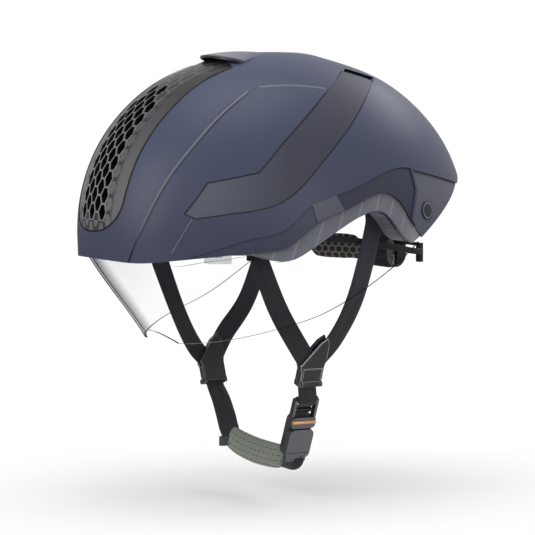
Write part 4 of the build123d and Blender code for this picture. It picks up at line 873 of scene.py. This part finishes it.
VENT_EDGE = [(28, 138.5), (30, 128), (32, 110), (32.5, 79.9), (32.1, 51.9), (30, 42), (24, 34), (13.9, 29), (0, 27.5)]
INLAY_EDGE = [
    [(60.4, 127), (45.8, 120), (28.1, 107.6), (4.5, 89.1), (-14.1, 73.6), (-26.4, 62.2), (-38.6, 52.8),
     (-49.9, 47.2), (-65.3, 43.7), (-74.3, 42.6)],
    [(-74.3, 42.6), (-97.1, 38.8)],
    [(-97.1, 38.8), (-102.8, 42)],
    [(-102.8, 42), (-88.4, 62.8)],
    [(-88.4, 62.8), (-57, 69.6)],
    [(-57, 69.6), (-31, 94), (11.8, 123.9), (35.8, 135.4)],
]
rows = dense([VENT_EDGE + [(-x, z) for x, z in VENT_EDGE[-2::-1]]])
middles = face_middles(cover.data)
rise = -form_depth(middles, SHELL)
near_row = plate & (np.abs(middles[:, 2] - rows[:, 1:]) < ROW_REACH)
tops = np.where(near_row.any(axis=1), np.where(near_row, rise, -np.inf).max(axis=1), USUAL_TOP)
print("cover lies above the form by", round(tops.min() / MM, 2), "to", round(tops.max() / MM, 2), "mm")
places = on_form(rows[:, 0], rows[:, 1], False)
gap_line("vent_gap", places, VENT_GAP_HALF, tops + VENT_GAP_LIFT, "vent_graphite")
rows = dense(INLAY_EDGE)
for side, word in SIDES:
    places = on_form(rows[:, 0], rows[:, 1], True) * (side, 1, 1)
    gap_line("inlay_gap_" + word, places, INLAY_GAP_HALF, INLAY_GAP_LIFT, "inlay_grey")

# %% [markdown]
# The hood
#
# Behind the vent a thin hood rises from the crown towards the front and
# leaves a low mouth under its lip. It is one curved sheet with an upper and
# an under side, highest in the middle of the lip and gone at its heel.

# %% Hood
HOOD_LIP, HOOD_CORNER, HOOD_HEEL = -48 * MM, -34 * MM, -6 * MM
HOOD_HALF, HOOD_TAPER, HOOD_RISE, HOOD_WALL = 26 * MM, 0.65, 5.0 * MM, 1.5 * MM
LIP_ROWS = 2


def hood_side(drop, lengthwise=28, across=40):
    """A grid of places on the hood, lowered by a drop."""
    sag = HOOD_CORNER - HOOD_LIP
    radius = (HOOD_HALF**2 + sag**2) / (2 * sag)
    back = np.linspace(0, 1, lengthwise)[:, None]
    wide = np.sin(np.linspace(-math.pi / 2, math.pi / 2, across))[None, :]
    x = wide * HOOD_HALF * (1 - (1 - HOOD_TAPER) * back)
    lip_y = HOOD_LIP + radius - np.sqrt(radius**2 - (wide * HOOD_HALF) ** 2)
    y = lip_y * (1 - back) + HOOD_HEEL * back
    flat = np.sqrt((x / SHELL["half"]) ** 2 + (y / SHELL["front"]) ** 2)
    z = SHELL["belt"] + (SHELL["crown"] - SHELL["belt"]) * (1 - flat**ROUNDNESS) ** (1 / ROUNDNESS)
    rise = HOOD_RISE * (1 - back) * (1 - wide**2) ** 0.45
    return np.stack([x, y, z + rise - drop], axis=-1)


upper, under = hood_side(-0.1 * MM), hood_side(HOOD_WALL)
tall, broad = upper.shape[:2]
count = tall * broad
cells = np.arange(count).reshape(tall, broad)
border = np.concatenate([cells[0], cells[1:, -1], cells[-1, -2::-1], cells[-2:0:-1, 0]])
following = np.roll(border, -1)
top_quads = grid_quads(tall, broad, False)
walls = np.stack([following, border, border + count, following + count], axis=1)
quads = np.vstack([top_quads, top_quads[:, ::-1] + count, walls])
hood_mesh = bpy.data.meshes.new("hood")
hood_mesh.from_pydata(np.vstack([upper.reshape(-1, 3), under.reshape(-1, 3)]).tolist(), [], quads.tolist())
smooth_faces(hood_mesh)
hood = link("hood", hood_mesh)
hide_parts("crown_scoop")
dress(hood, hood_paint, "helmet")
number = np.arange(len(quads))
paint_faces(hood_mesh, (number < LIP_ROWS * (broad - 1)) | (number >= len(top_quads)), lip_nylon)
print("hood faces", len(quads))

# %% [markdown]
# The visor
#
# The lens gets its smooth copy too. Faces that lie on the lens form take
# the clear finish, and the cut edge all round takes the darker rim finish,
# because light gathers in a cut edge of clear plastic.

# %% Visor lens
visor = dress(merged_copy("visor_lens", "lens"), lens, "visor")
clear_faces = shade_by_form(visor, [lens_directions], 0.9)
paint_faces(visor.data, ~clear_faces, rim_tint)

# %% [markdown]
# Fittings that stay as the CAD made them
#
# Each keeps its own mesh. A Weld modifier joins its loose triangles and a
# Bevel modifier breaks its sharp edges by a fraction of a millimetre, as a
# mould does. The dividers' broken edges are a paler grey, a painted
# highlight, and the buckle's outward faces are graphite over a black body.

# %% Fittings
FITTINGS = (
    (clear_block, "dark_plastic", ["visor_magnet_pads"]),
    (fitting, "dark_plastic", [
        "visor_docks", "front_strap_anchors", "rear_strap_anchors", "ladder_bars", "dial_housing", "housing_cover",
        "rack_left", "rack_right", "cradle_yoke", "cradle_hanger", "headband_pegs",
    ]),
    (nickel, "magnet_steel", [
        "visor_magnets", "liner_magnets", "catch_magnet", "tongue_magnet", "dial_screw",
        "divider_pin_left", "divider_pin_right",
    ]),
    (latch_metal, "buckle_graphite", ["buckle_catch", "buckle_tongue"]),
    (rose_metal, "copper", ["buckle_bar"]),
    (knob_plastic, "dial_plastic", ["dial_pinion", "dial_knob"]),
    (clip_plastic, "divider_plastic", [
        "divider_base_left", "divider_face_left", "divider_lever_left",
        "divider_base_right", "divider_face_right", "divider_lever_right",
    ]),
)
RIMMED = {"divider_face": 0.6, "divider_lever": 0.4, "divider_base": 0.45}
BROKEN_EDGES = {"buckle_catch": 1.2, "buckle_tongue": 1.0, "dial_knob": 0.3, "dial_housing": 0.5, **RIMMED}
for finish, slot, names in FITTINGS:
    for name in names:
        kind = name.removesuffix("_left").removesuffix("_right")
        node = dress(nodes[name], finish)
        weld = node.modifiers.new("weld", "WELD")
        weld.merge_threshold = 1e-6
        bevel = node.modifiers.new("broken edges", "BEVEL")
        bevel.width = BROKEN_EDGES.get(kind, 0.2) * MM
        bevel.segments = 2
        bevel.limit_method = "ANGLE"
        bevel.angle_limit = math.radians(40)
        bevel.harden_normals = True
        if kind in RIMMED:
            node.data.materials.append(edge_highlight.material)
            bevel.material = 1
BUCKLE_TILT = math.radians(23.4)
BUCKLE_OUT = (math.cos(BUCKLE_TILT), 0, -math.sin(BUCKLE_TILT))
for name in ("buckle_catch", "buckle_tongue"):
    mesh = nodes[name].data
    paint_faces(mesh, face_arrays(mesh)[1] @ BUCKLE_OUT <= 0.6, fitting)
print("fittings with broken edges:", sum(len(names) for _, _, names in FITTINGS))

# %% [markdown]
# Where the straps run
#
# Each strap hangs from an anchor in the liner, runs down to its divider in
# front of the ear and on to the chin. The helmet leans a little, so below
# the shell the wearer's left side hangs higher than the right.

# %% Places on the harness
UNIT = 100 * MM
TILT = math.radians(20)
LEAN_RISE, LEAN_START, LEAN_DEPTH = 5.9 * MM, 8 * MM, 34 * MM
HALF_HEIGHT = 17.5 * MM
BUCKLE = (49 * MM, -2.4 * MM, -116.4 * MM)


def strap_place(side, x, y, z):
    """A place on a strap, from shares of 100 mm, with the lean added."""
    drop = min(max((LEAN_START - z * UNIT) / LEAN_DEPTH, 0), 1)
    return (side * x * UNIT, y * UNIT, z * UNIT + side * LEAN_RISE * drop)


def divider_place(side, along, up, out):
    """A place in a divider's own frame: shares of its half height along and up, and metres out from it."""
    base = strap_place(side, 0.69, -0.048, -0.663)
    up = up * HALF_HEIGHT
    return (
        base[0] + side * (up * math.sin(TILT) + out * math.cos(TILT)),
        base[1] + along * HALF_HEIGHT,
        base[2] + up * math.cos(TILT) - out * math.sin(TILT),
    )


def buckle_place(along, up, out):
    """A place in the buckle's own frame, in millimetres."""
    return (
        BUCKLE[0] + (up * math.sin(BUCKLE_TILT) + out * math.cos(BUCKLE_TILT)) * MM,
        BUCKLE[1] + along * MM,
        BUCKLE[2] + (up * math.cos(BUCKLE_TILT) - out * math.sin(BUCKLE_TILT)) * MM,
    )


def chin_place(x, y, z):
    """A place on the chin strap, from shares of 100 mm."""
    return (x * UNIT, y * UNIT, z * UNIT)


# %% [markdown]
# Flat webbing
#
# The strap meshes follow the same stations as the CAD straps, but as a
# smooth curve with thin rounded edges. The cloth never leaves the space
# that its plain CAD solid holds.

# %% Side straps
WEB_HALF, WEB_DEPTH, CLOTH_SHARE = 7 * MM, 0.7 * MM, 0.9
DIVIDER_PLATE, SEAT_GAP, LAYER_STEP = 2 * MM, 0.3 * MM, 1.5 * MM
FRONT_LAYER = DIVIDER_PLATE + WEB_DEPTH + SEAT_GAP
REAR_LAYER = FRONT_LAYER + LAYER_STEP


def web_run(node, name, rows, body="helmet", half=WEB_HALF):
    """Webbing through rows of a place and the way that it looks there, standing for a CAD strap."""
    stations = [(place, look, half, WEB_DEPTH * CLOTH_SHARE) for place, look in rows]
    piece = sleeve(name, stations, steps=12, across=10, edge=14.0)
    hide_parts(node)
    return dress(piece, web, body)


for side, word in SIDES:
    flat, out = (side, 0, 0), (side, 0, -math.sin(TILT))
    web_run("front_strap_" + word, "front_web_" + word, [
        ((side * 75.7 * MM, -48 * MM, 13.1 * MM), flat),
        (strap_place(side, 0.757, -0.477, 0.08), flat),
        (strap_place(side, 0.722, -0.32, -0.31), (side, -0.2, -0.08)),
        (divider_place(side, -0.651, 0.503, FRONT_LAYER), out),
        (divider_place(side, 0, -0.27, FRONT_LAYER), out),
    ])
    web_run("rear_strap_" + word, "rear_web_" + word, [
        ((side * 68.9 * MM, 47 * MM, 44 * MM), flat),
        (strap_place(side, 0.689, 0.467, 0.37), flat),
        (strap_place(side, 0.7, 0.45, 0.25), flat),
        (strap_place(side, 0.752, 0.288, -0.238), (side, 0, -0.1)),
        (divider_place(side, 0.869, 0.954, REAR_LAYER), out),
        (divider_place(side, 0, -0.27, REAR_LAYER), out),
    ])

# %% [markdown]
# Under the chin
#
# The left strap goes down to the buckle's catch and weaves over one bar of
# its loop and behind the next, clear of each by half its own thickness. A
# round bar closes the loop at the top. The chin strap goes on from the
# right divider to the buckle's tongue, and turns face up on its way.

# %% Lower strap, buckle loop, chin strap and its loose end
LEFT_OUT, RIGHT_OUT = (1, 0, -math.sin(TILT)), (-1, 0, -math.sin(TILT))
CHIN_FACE = (0, 0.95, -0.32)
BAR_RADIUS, BAR_GAP = 1.3 * MM, 0.2 * MM
WEAVE = (BAR_RADIUS + WEB_DEPTH + BAR_GAP) / MM
web_run("lower_strap_left", "lower_web_left", [
    (divider_place(1, 0, -0.57, FRONT_LAYER + 0.6 * MM), LEFT_OUT),
    (divider_place(1, 0, -1.1, FRONT_LAYER + 0.2 * MM), LEFT_OUT),
    (buckle_place(0, 29.4, WEAVE), BUCKLE_OUT),
    (buckle_place(0, 26.2, WEAVE), BUCKLE_OUT),
    (buckle_place(0, 21.4, -WEAVE), BUCKLE_OUT),
    (buckle_place(0, 17.4, -WEAVE), BUCKLE_OUT),
])
LOOP_RADIUS, LOOP_OUT = 1.25 * MM, -0.1
LOOP_ARCH = [(-8.5, 26), (-8.5, 28.4), (-7.2, 29.8), (0, 30), (7.2, 29.8), (8.5, 28.4), (8.5, 26)]
stations = [(buckle_place(along, up, LOOP_OUT), BUCKLE_OUT, LOOP_RADIUS, LOOP_RADIUS) for along, up in LOOP_ARCH]
dress(sleeve("buckle_loop_bar", stations, steps=6, across=8, edge=2.0), fitting, "helmet")
chin_run = web_run("chin_strap", "chin_web", [
    (divider_place(-1, 0, -0.57, FRONT_LAYER + 0.6 * MM), RIGHT_OUT),
    (divider_place(-1, 0, -1.15, FRONT_LAYER + 0.2 * MM), RIGHT_OUT),
    (chin_place(-0.58, -0.039, -1.022), (-0.95, 0.2, -0.38)),
    (chin_place(-0.515, -0.036, -1.13), (-0.88, 0.4, -0.4)),
    (chin_place(-0.465, -0.038, -1.215), (-0.7, 0.65, -0.4)),
    (chin_place(-0.4, -0.038, -1.283), (-0.4, 0.88, -0.36)),
    (chin_place(-0.3, -0.034, -1.308), CHIN_FACE),
    (chin_place(-0.1, -0.026, -1.335), CHIN_FACE),
    (chin_place(0.1, -0.023, -1.343), CHIN_FACE),
    (chin_place(0.28, -0.024, -1.34), CHIN_FACE),
    (buckle_place(-0.4, -19, 1.4), (-0.45, 0.9, -0.1)),
    (buckle_place(0, -16.5, 2), (-math.cos(BUCKLE_TILT), 0.45, math.sin(BUCKLE_TILT))),
], body=None)
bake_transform(chin_run)
web_run("strap_tail", "loose_end", [
    (chin_place(-0.41, -0.07, -1.3), (0, -0.95, 0.1)),
    (chin_place(-0.46, -0.075, -1.31), (0.1, -0.95, 0.1)),
    (chin_place(-0.53, -0.077, -1.318), (0.2, -0.95, 0.1)),
], half=3.6 * MM)

# %% [markdown]
# Padded pieces
#
# A pad is sewn smaller than its final size and filled. The script does the
# same: each pad starts as a closed sleeve a little inside its CAD solid,
# the cloth solver blows it up with gravity off, and a cap keeps every point
# near its start so that the pad stays clear of its neighbours.

# %% Filling a pad
CLOTH_STEPS = 20


def fill_pad(piece, pressure, cap):
    """Blows a closed sleeve up in the cloth solver, keeps each point within the cap, and smooths it once."""
    scene = bpy.context.scene
    start = mesh_points(piece.data)
    cloth = piece.modifiers.new("cloth", "CLOTH")
    cloth.settings.quality = 6
    cloth.settings.use_pressure = True
    cloth.settings.uniform_pressure_force = pressure
    cloth.settings.effector_weights.gravity = 0
    cloth.settings.tension_stiffness = cloth.settings.compression_stiffness = 30
    for step in range(1, CLOTH_STEPS + 1):
        scene.frame_set(step)
    seen = piece.evaluated_get(bpy.context.evaluated_depsgraph_get())
    shift = mesh_points(seen.data) - start
    scene.frame_set(1)
    piece.modifiers.remove(cloth)
    length = np.linalg.norm(shift, axis=1, keepdims=True)
    shift *= cap * np.tanh(length / cap) / np.maximum(length, 1e-9)
    piece.data.vertices.foreach_set("co", (start + shift).ravel())
    piece.data.update()
    print(piece.name, "largest move %.2f mm" % (np.linalg.norm(shift, axis=1).max() / MM))
    smooth = piece.modifiers.new("smooth", "SUBSURF")
    smooth.levels = smooth.render_levels = 1
    seen = piece.evaluated_get(bpy.context.evaluated_depsgraph_get())
    final = bpy.data.meshes.new_from_object(seen)
    piece.modifiers.clear()
    piece.data = final
    return piece


# %% Chin pad
PAD_LOOK = (0, -0.95, 0.32)
CHIN_WIDE, CHIN_DEEP = 17.5 * MM, 3.2 * MM
CHIN_ROWS = (
    (chin_place(-0.443, -0.042, -1.268), 0.3),
    (chin_place(-0.42, -0.04, -1.277), 0.8),
    (chin_place(-0.3, -0.034, -1.308), 1.0),
    (chin_place(-0.1, -0.026, -1.335), 1.08),
    (chin_place(0.1, -0.023, -1.343), 1.05),
    (chin_place(0.26, -0.024, -1.341), 0.9),
    (chin_place(0.308, -0.024, -1.337), 0.35),
)
stations = [(place, PAD_LOOK, CHIN_WIDE * (0.5 + share) / 3, CHIN_DEEP * share) for place, share in CHIN_ROWS]
chin_pad = sleeve("chin_sleeve", stations, steps=8, across=14, edge=3.0)
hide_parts("chin_pad")
dress(fill_pad(chin_pad, 4.0, 0.4 * MM), knit)
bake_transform(chin_pad)

# %% Rear pads
REAR_SLANT = 0.505
REAR_HALF, REAR_HIGH, REAR_DEEP, REAR_FORWARD = 23.4 * MM, 9 * MM, 1.5 * MM, 1.8 * MM
for side, word in SIDES:
    look = np.array([-side * REAR_SLANT, -1, 0]) / math.hypot(REAR_SLANT, 1)
    way = np.array([-1, side * REAR_SLANT, 0]) / math.hypot(REAR_SLANT, 1)
    middle = np.array([side * 38.5, 81.7, 6.8]) * MM + look * REAR_FORWARD
    stations = []
    for share in np.linspace(-1, 1, 9):
        swell = math.sqrt(max(1 - share**4, 0.02))
        stations.append((middle + way * share * REAR_HALF, look, REAR_HIGH * swell, REAR_DEEP * swell))
    pad = sleeve("rear_pad_cloth_" + word, stations, steps=5, across=14, edge=4.0)
    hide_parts("rear_pad_" + word)
    dress(fill_pad(pad, 3.0, 0.3 * MM), rear_cloth, "helmet")

# %% Brow pad
BROW_UP, BROW_HALF, BROW_HIGH, BROW_DEEP, BROW_INWARD = 34 * MM, 48.5 * MM, 11.4 * MM, 2.5 * MM, 3.1 * MM
up_share = (BROW_UP - CAVITY["belt"]) / (CAVITY["crown"] - CAVITY["belt"])
reach = CAVITY["front"] * (1 - up_share**ROUNDNESS) ** (1 / ROUNDNESS)
shares = np.linspace(-1, 1, 15)
x = shares * BROW_HALF
spots = np.stack([x, -reach * np.sqrt(1 - (x / CAVITY["half"]) ** 2), np.full(len(x), BROW_UP)], axis=1)
looks = -cavity_ways(spots)
swells = np.sqrt(np.maximum(1 - shares**6, 0.03))
stations = [
    (spot + look * BROW_INWARD, look, BROW_HIGH * swell, BROW_DEEP * swell)
    for spot, look, swell in zip(spots, looks, swells)
]
brow = sleeve("brow_pad_cloth", stations, steps=4, across=14, edge=4.0)
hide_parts("brow_pad")
dress(fill_pad(brow, 4.0, 0.3 * MM), brow_cloth, "helmet")

# %% Grid pad and hook patches
grid = dress(merged_copy("grid_pad", "grid_pad_cloth"), grid_cloth, "helmet")
shade_by_form(grid, [cavity_ways])
patches = dress(merged_copy("hook_loop_patches", "hook_patches"), hook_cloth, "helmet")
shade_by_form(patches, [cavity_ways])

# %% [markdown]
# Headband
#
# The headband is a thin flexible strip. Its front end is pegged in the
# liner and its rear end is fixed to a rack of the dial.

# %% Headband sides
BAND_HALF, BAND_DEPTH, BAND_RISE = 2.2 * MM, 0.55 * MM, 2.7 * MM
BAND_ROWS = (
    (0.488, 0.985, 0.05, (0.35, 1)),
    (0.56, 0.935, 0.055, (0.7, 1)),
    (0.63, 0.82, 0.07, (1, 0.6)),
    (0.662, 0.66, 0.1, (1, 0.25)),
    (0.674, 0.48, 0.13, (1, 0.1)),
    (0.688, 0.3, 0.165, (1, 0.08)),
    (0.725, 0, 0.195, (1, 0)),
    (0.7485, -0.25, 0.22, (1, -0.06)),
)
for side, word in SIDES:
    stations = [
        ((side * x * UNIT, y * UNIT, z * UNIT + BAND_RISE), (side * face[0], face[1], 0), BAND_HALF, BAND_DEPTH)
        for x, y, z, face in BAND_ROWS
    ]
    band = sleeve("headband_strip_" + word, stations, steps=8, across=8, edge=14.0)
    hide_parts("headband_" + word)
    dress(band, fitting)
    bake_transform(band)

# %% [markdown]
# Floor and world
#
# A product photograph has a white sweep. The floor glows white to the
# camera and less so under the helmet, where it keeps the soft shadow. The
# world is white to the camera and dimmer as a light.

# %% Floor and world
FLOOR_HEIGHT, FLOOR_HALF = -162 * MM, 9
FLOOR_WHITE, FLOOR_DARK, WHITE = (0.8, 0.8, 0.8, 1.0), (0.02, 0.02, 0.02, 1.0), (1, 1, 1, 1)
WORLD_LIGHT = 0.62
ground = bpy.data.meshes.new("floor")
corners = [(x * FLOOR_HALF, y * FLOOR_HALF, FLOOR_HEIGHT) for x, y in ((-1, -1), (1, -1), (1, 1), (-1, 1))]
ground.from_pydata(corners, [], [(0, 1, 2, 3)])
floor_piece = link("floor", ground)
floor_paint = Finish("floor white", FLOOR_WHITE, 0.9)
rays = floor_paint.add("LightPath").outputs
bare = floor_paint.sum("MAXIMUM", rays["Is Camera Ray"], rays["Is Transmission Ray"])
ground_x, ground_y, _ = floor_paint.parts(floor_paint.place)
square = floor_paint.plus(floor_paint.times(ground_x, ground_x), floor_paint.times(ground_y, ground_y))
outer = floor_paint.ramp(floor_paint.sum("SQRT", square), 0.12, 0.5)
floor_paint.colour(floor_paint.mix(outer, FLOOR_WHITE, FLOOR_DARK))
floor_paint.shader.inputs["Emission Color"].default_value = WHITE
glow = floor_paint.ramp(outer, 0.0, 1.0, 0.25, 1.0)
floor_paint.join(floor_paint.times(bare, glow), floor_paint.shader.inputs["Emission Strength"])
ground.materials.append(floor_paint.material)
world = bpy.data.worlds.new("studio")
bpy.context.scene.world = world
world.use_nodes = True
sky = world.node_tree
backdrop = sky.nodes["Background"]
sky_rays = sky.nodes.new("ShaderNodeLightPath")
strength = sky.nodes.new("ShaderNodeMapRange")
strength.inputs["To Min"].default_value = WORLD_LIGHT
strength.inputs["To Max"].default_value = 1.0
sky.links.new(sky_rays.outputs["Is Camera Ray"], strength.inputs["Value"])
sky.links.new(strength.outputs["Result"], backdrop.inputs["Strength"])
backdrop.inputs["Color"].default_value = WHITE

# %% [markdown]
# Lamps
#
# One broad lamp hangs overhead, a tall one stands in front, a narrow one at
# the wearer's left and a wide low one behind, to draw the rim.

# %% Softboxes
def lamp(name, place, aim, size, watts):
    """A rectangular area lamp that looks at a point."""
    data = bpy.data.lights.new(name, "AREA")
    data.shape = "RECTANGLE"
    data.size, data.size_y = size
    data.energy = watts
    item = link(name, data)
    item.location = place
    item.rotation_mode = "QUATERNION"
    item.rotation_quaternion = (Vector(aim) - Vector(place)).to_track_quat("-Z", "Y")


lamp("overhead softbox", (0.1, -0.1, 1.3), (0, 0, 0.05), (1.0, 1.0), 4.2)
lamp("front softbox", (0.1, -1.6, 0.6), (0, 0, 0.03), (0.7, 1.2), 6.5)
lamp("side softbox", (1.7, 0.3, 0.2), (0, 0, 0.03), (0.4, 1.3), 3)
lamp("rim softbox", (-0.4, 1.5, 1.1), (0, 0, 0.06), (1.2, 0.5), 4.4)

# %% [markdown]
# Camera
#
# The camera stands 60 degrees round from the front towards the wearer's
# left and 4 degrees up, with a long lens, and it looks a little beside the
# helmet's middle so that the helmet sits where the photograph has it.

# %% Camera
AZIMUTH, ELEVATION, DISTANCE = math.radians(60), math.radians(4), 2.5
FOCAL_PIXELS, FRAME_PIXELS, SENSOR = 3550, 535, 36
AIM_LEFT, AIM_DOWN = 7.46, 33.6
centre = Vector((0, 0.01, 0.03))
flat_reach = math.cos(ELEVATION)
back = Vector((math.sin(AZIMUTH) * flat_reach, -math.cos(AZIMUTH) * flat_reach, math.sin(ELEVATION)))
right = Vector((math.cos(AZIMUTH), math.sin(AZIMUTH), 0))
camera_up = back.cross(right)
camera_data = bpy.data.cameras.new("camera")
camera_data.lens = FOCAL_PIXELS / FRAME_PIXELS * SENSOR
camera = link("camera", camera_data)
camera.location = centre + back * DISTANCE
aim = centre - right * AIM_LEFT * MM - camera_up * AIM_DOWN * MM
camera.rotation_mode = "QUATERNION"
camera.rotation_quaternion = (aim - camera.location).to_track_quat("-Z", "Y")
bpy.context.scene.camera = camera
bpy.context.scene.view_settings.view_transform = "Standard"
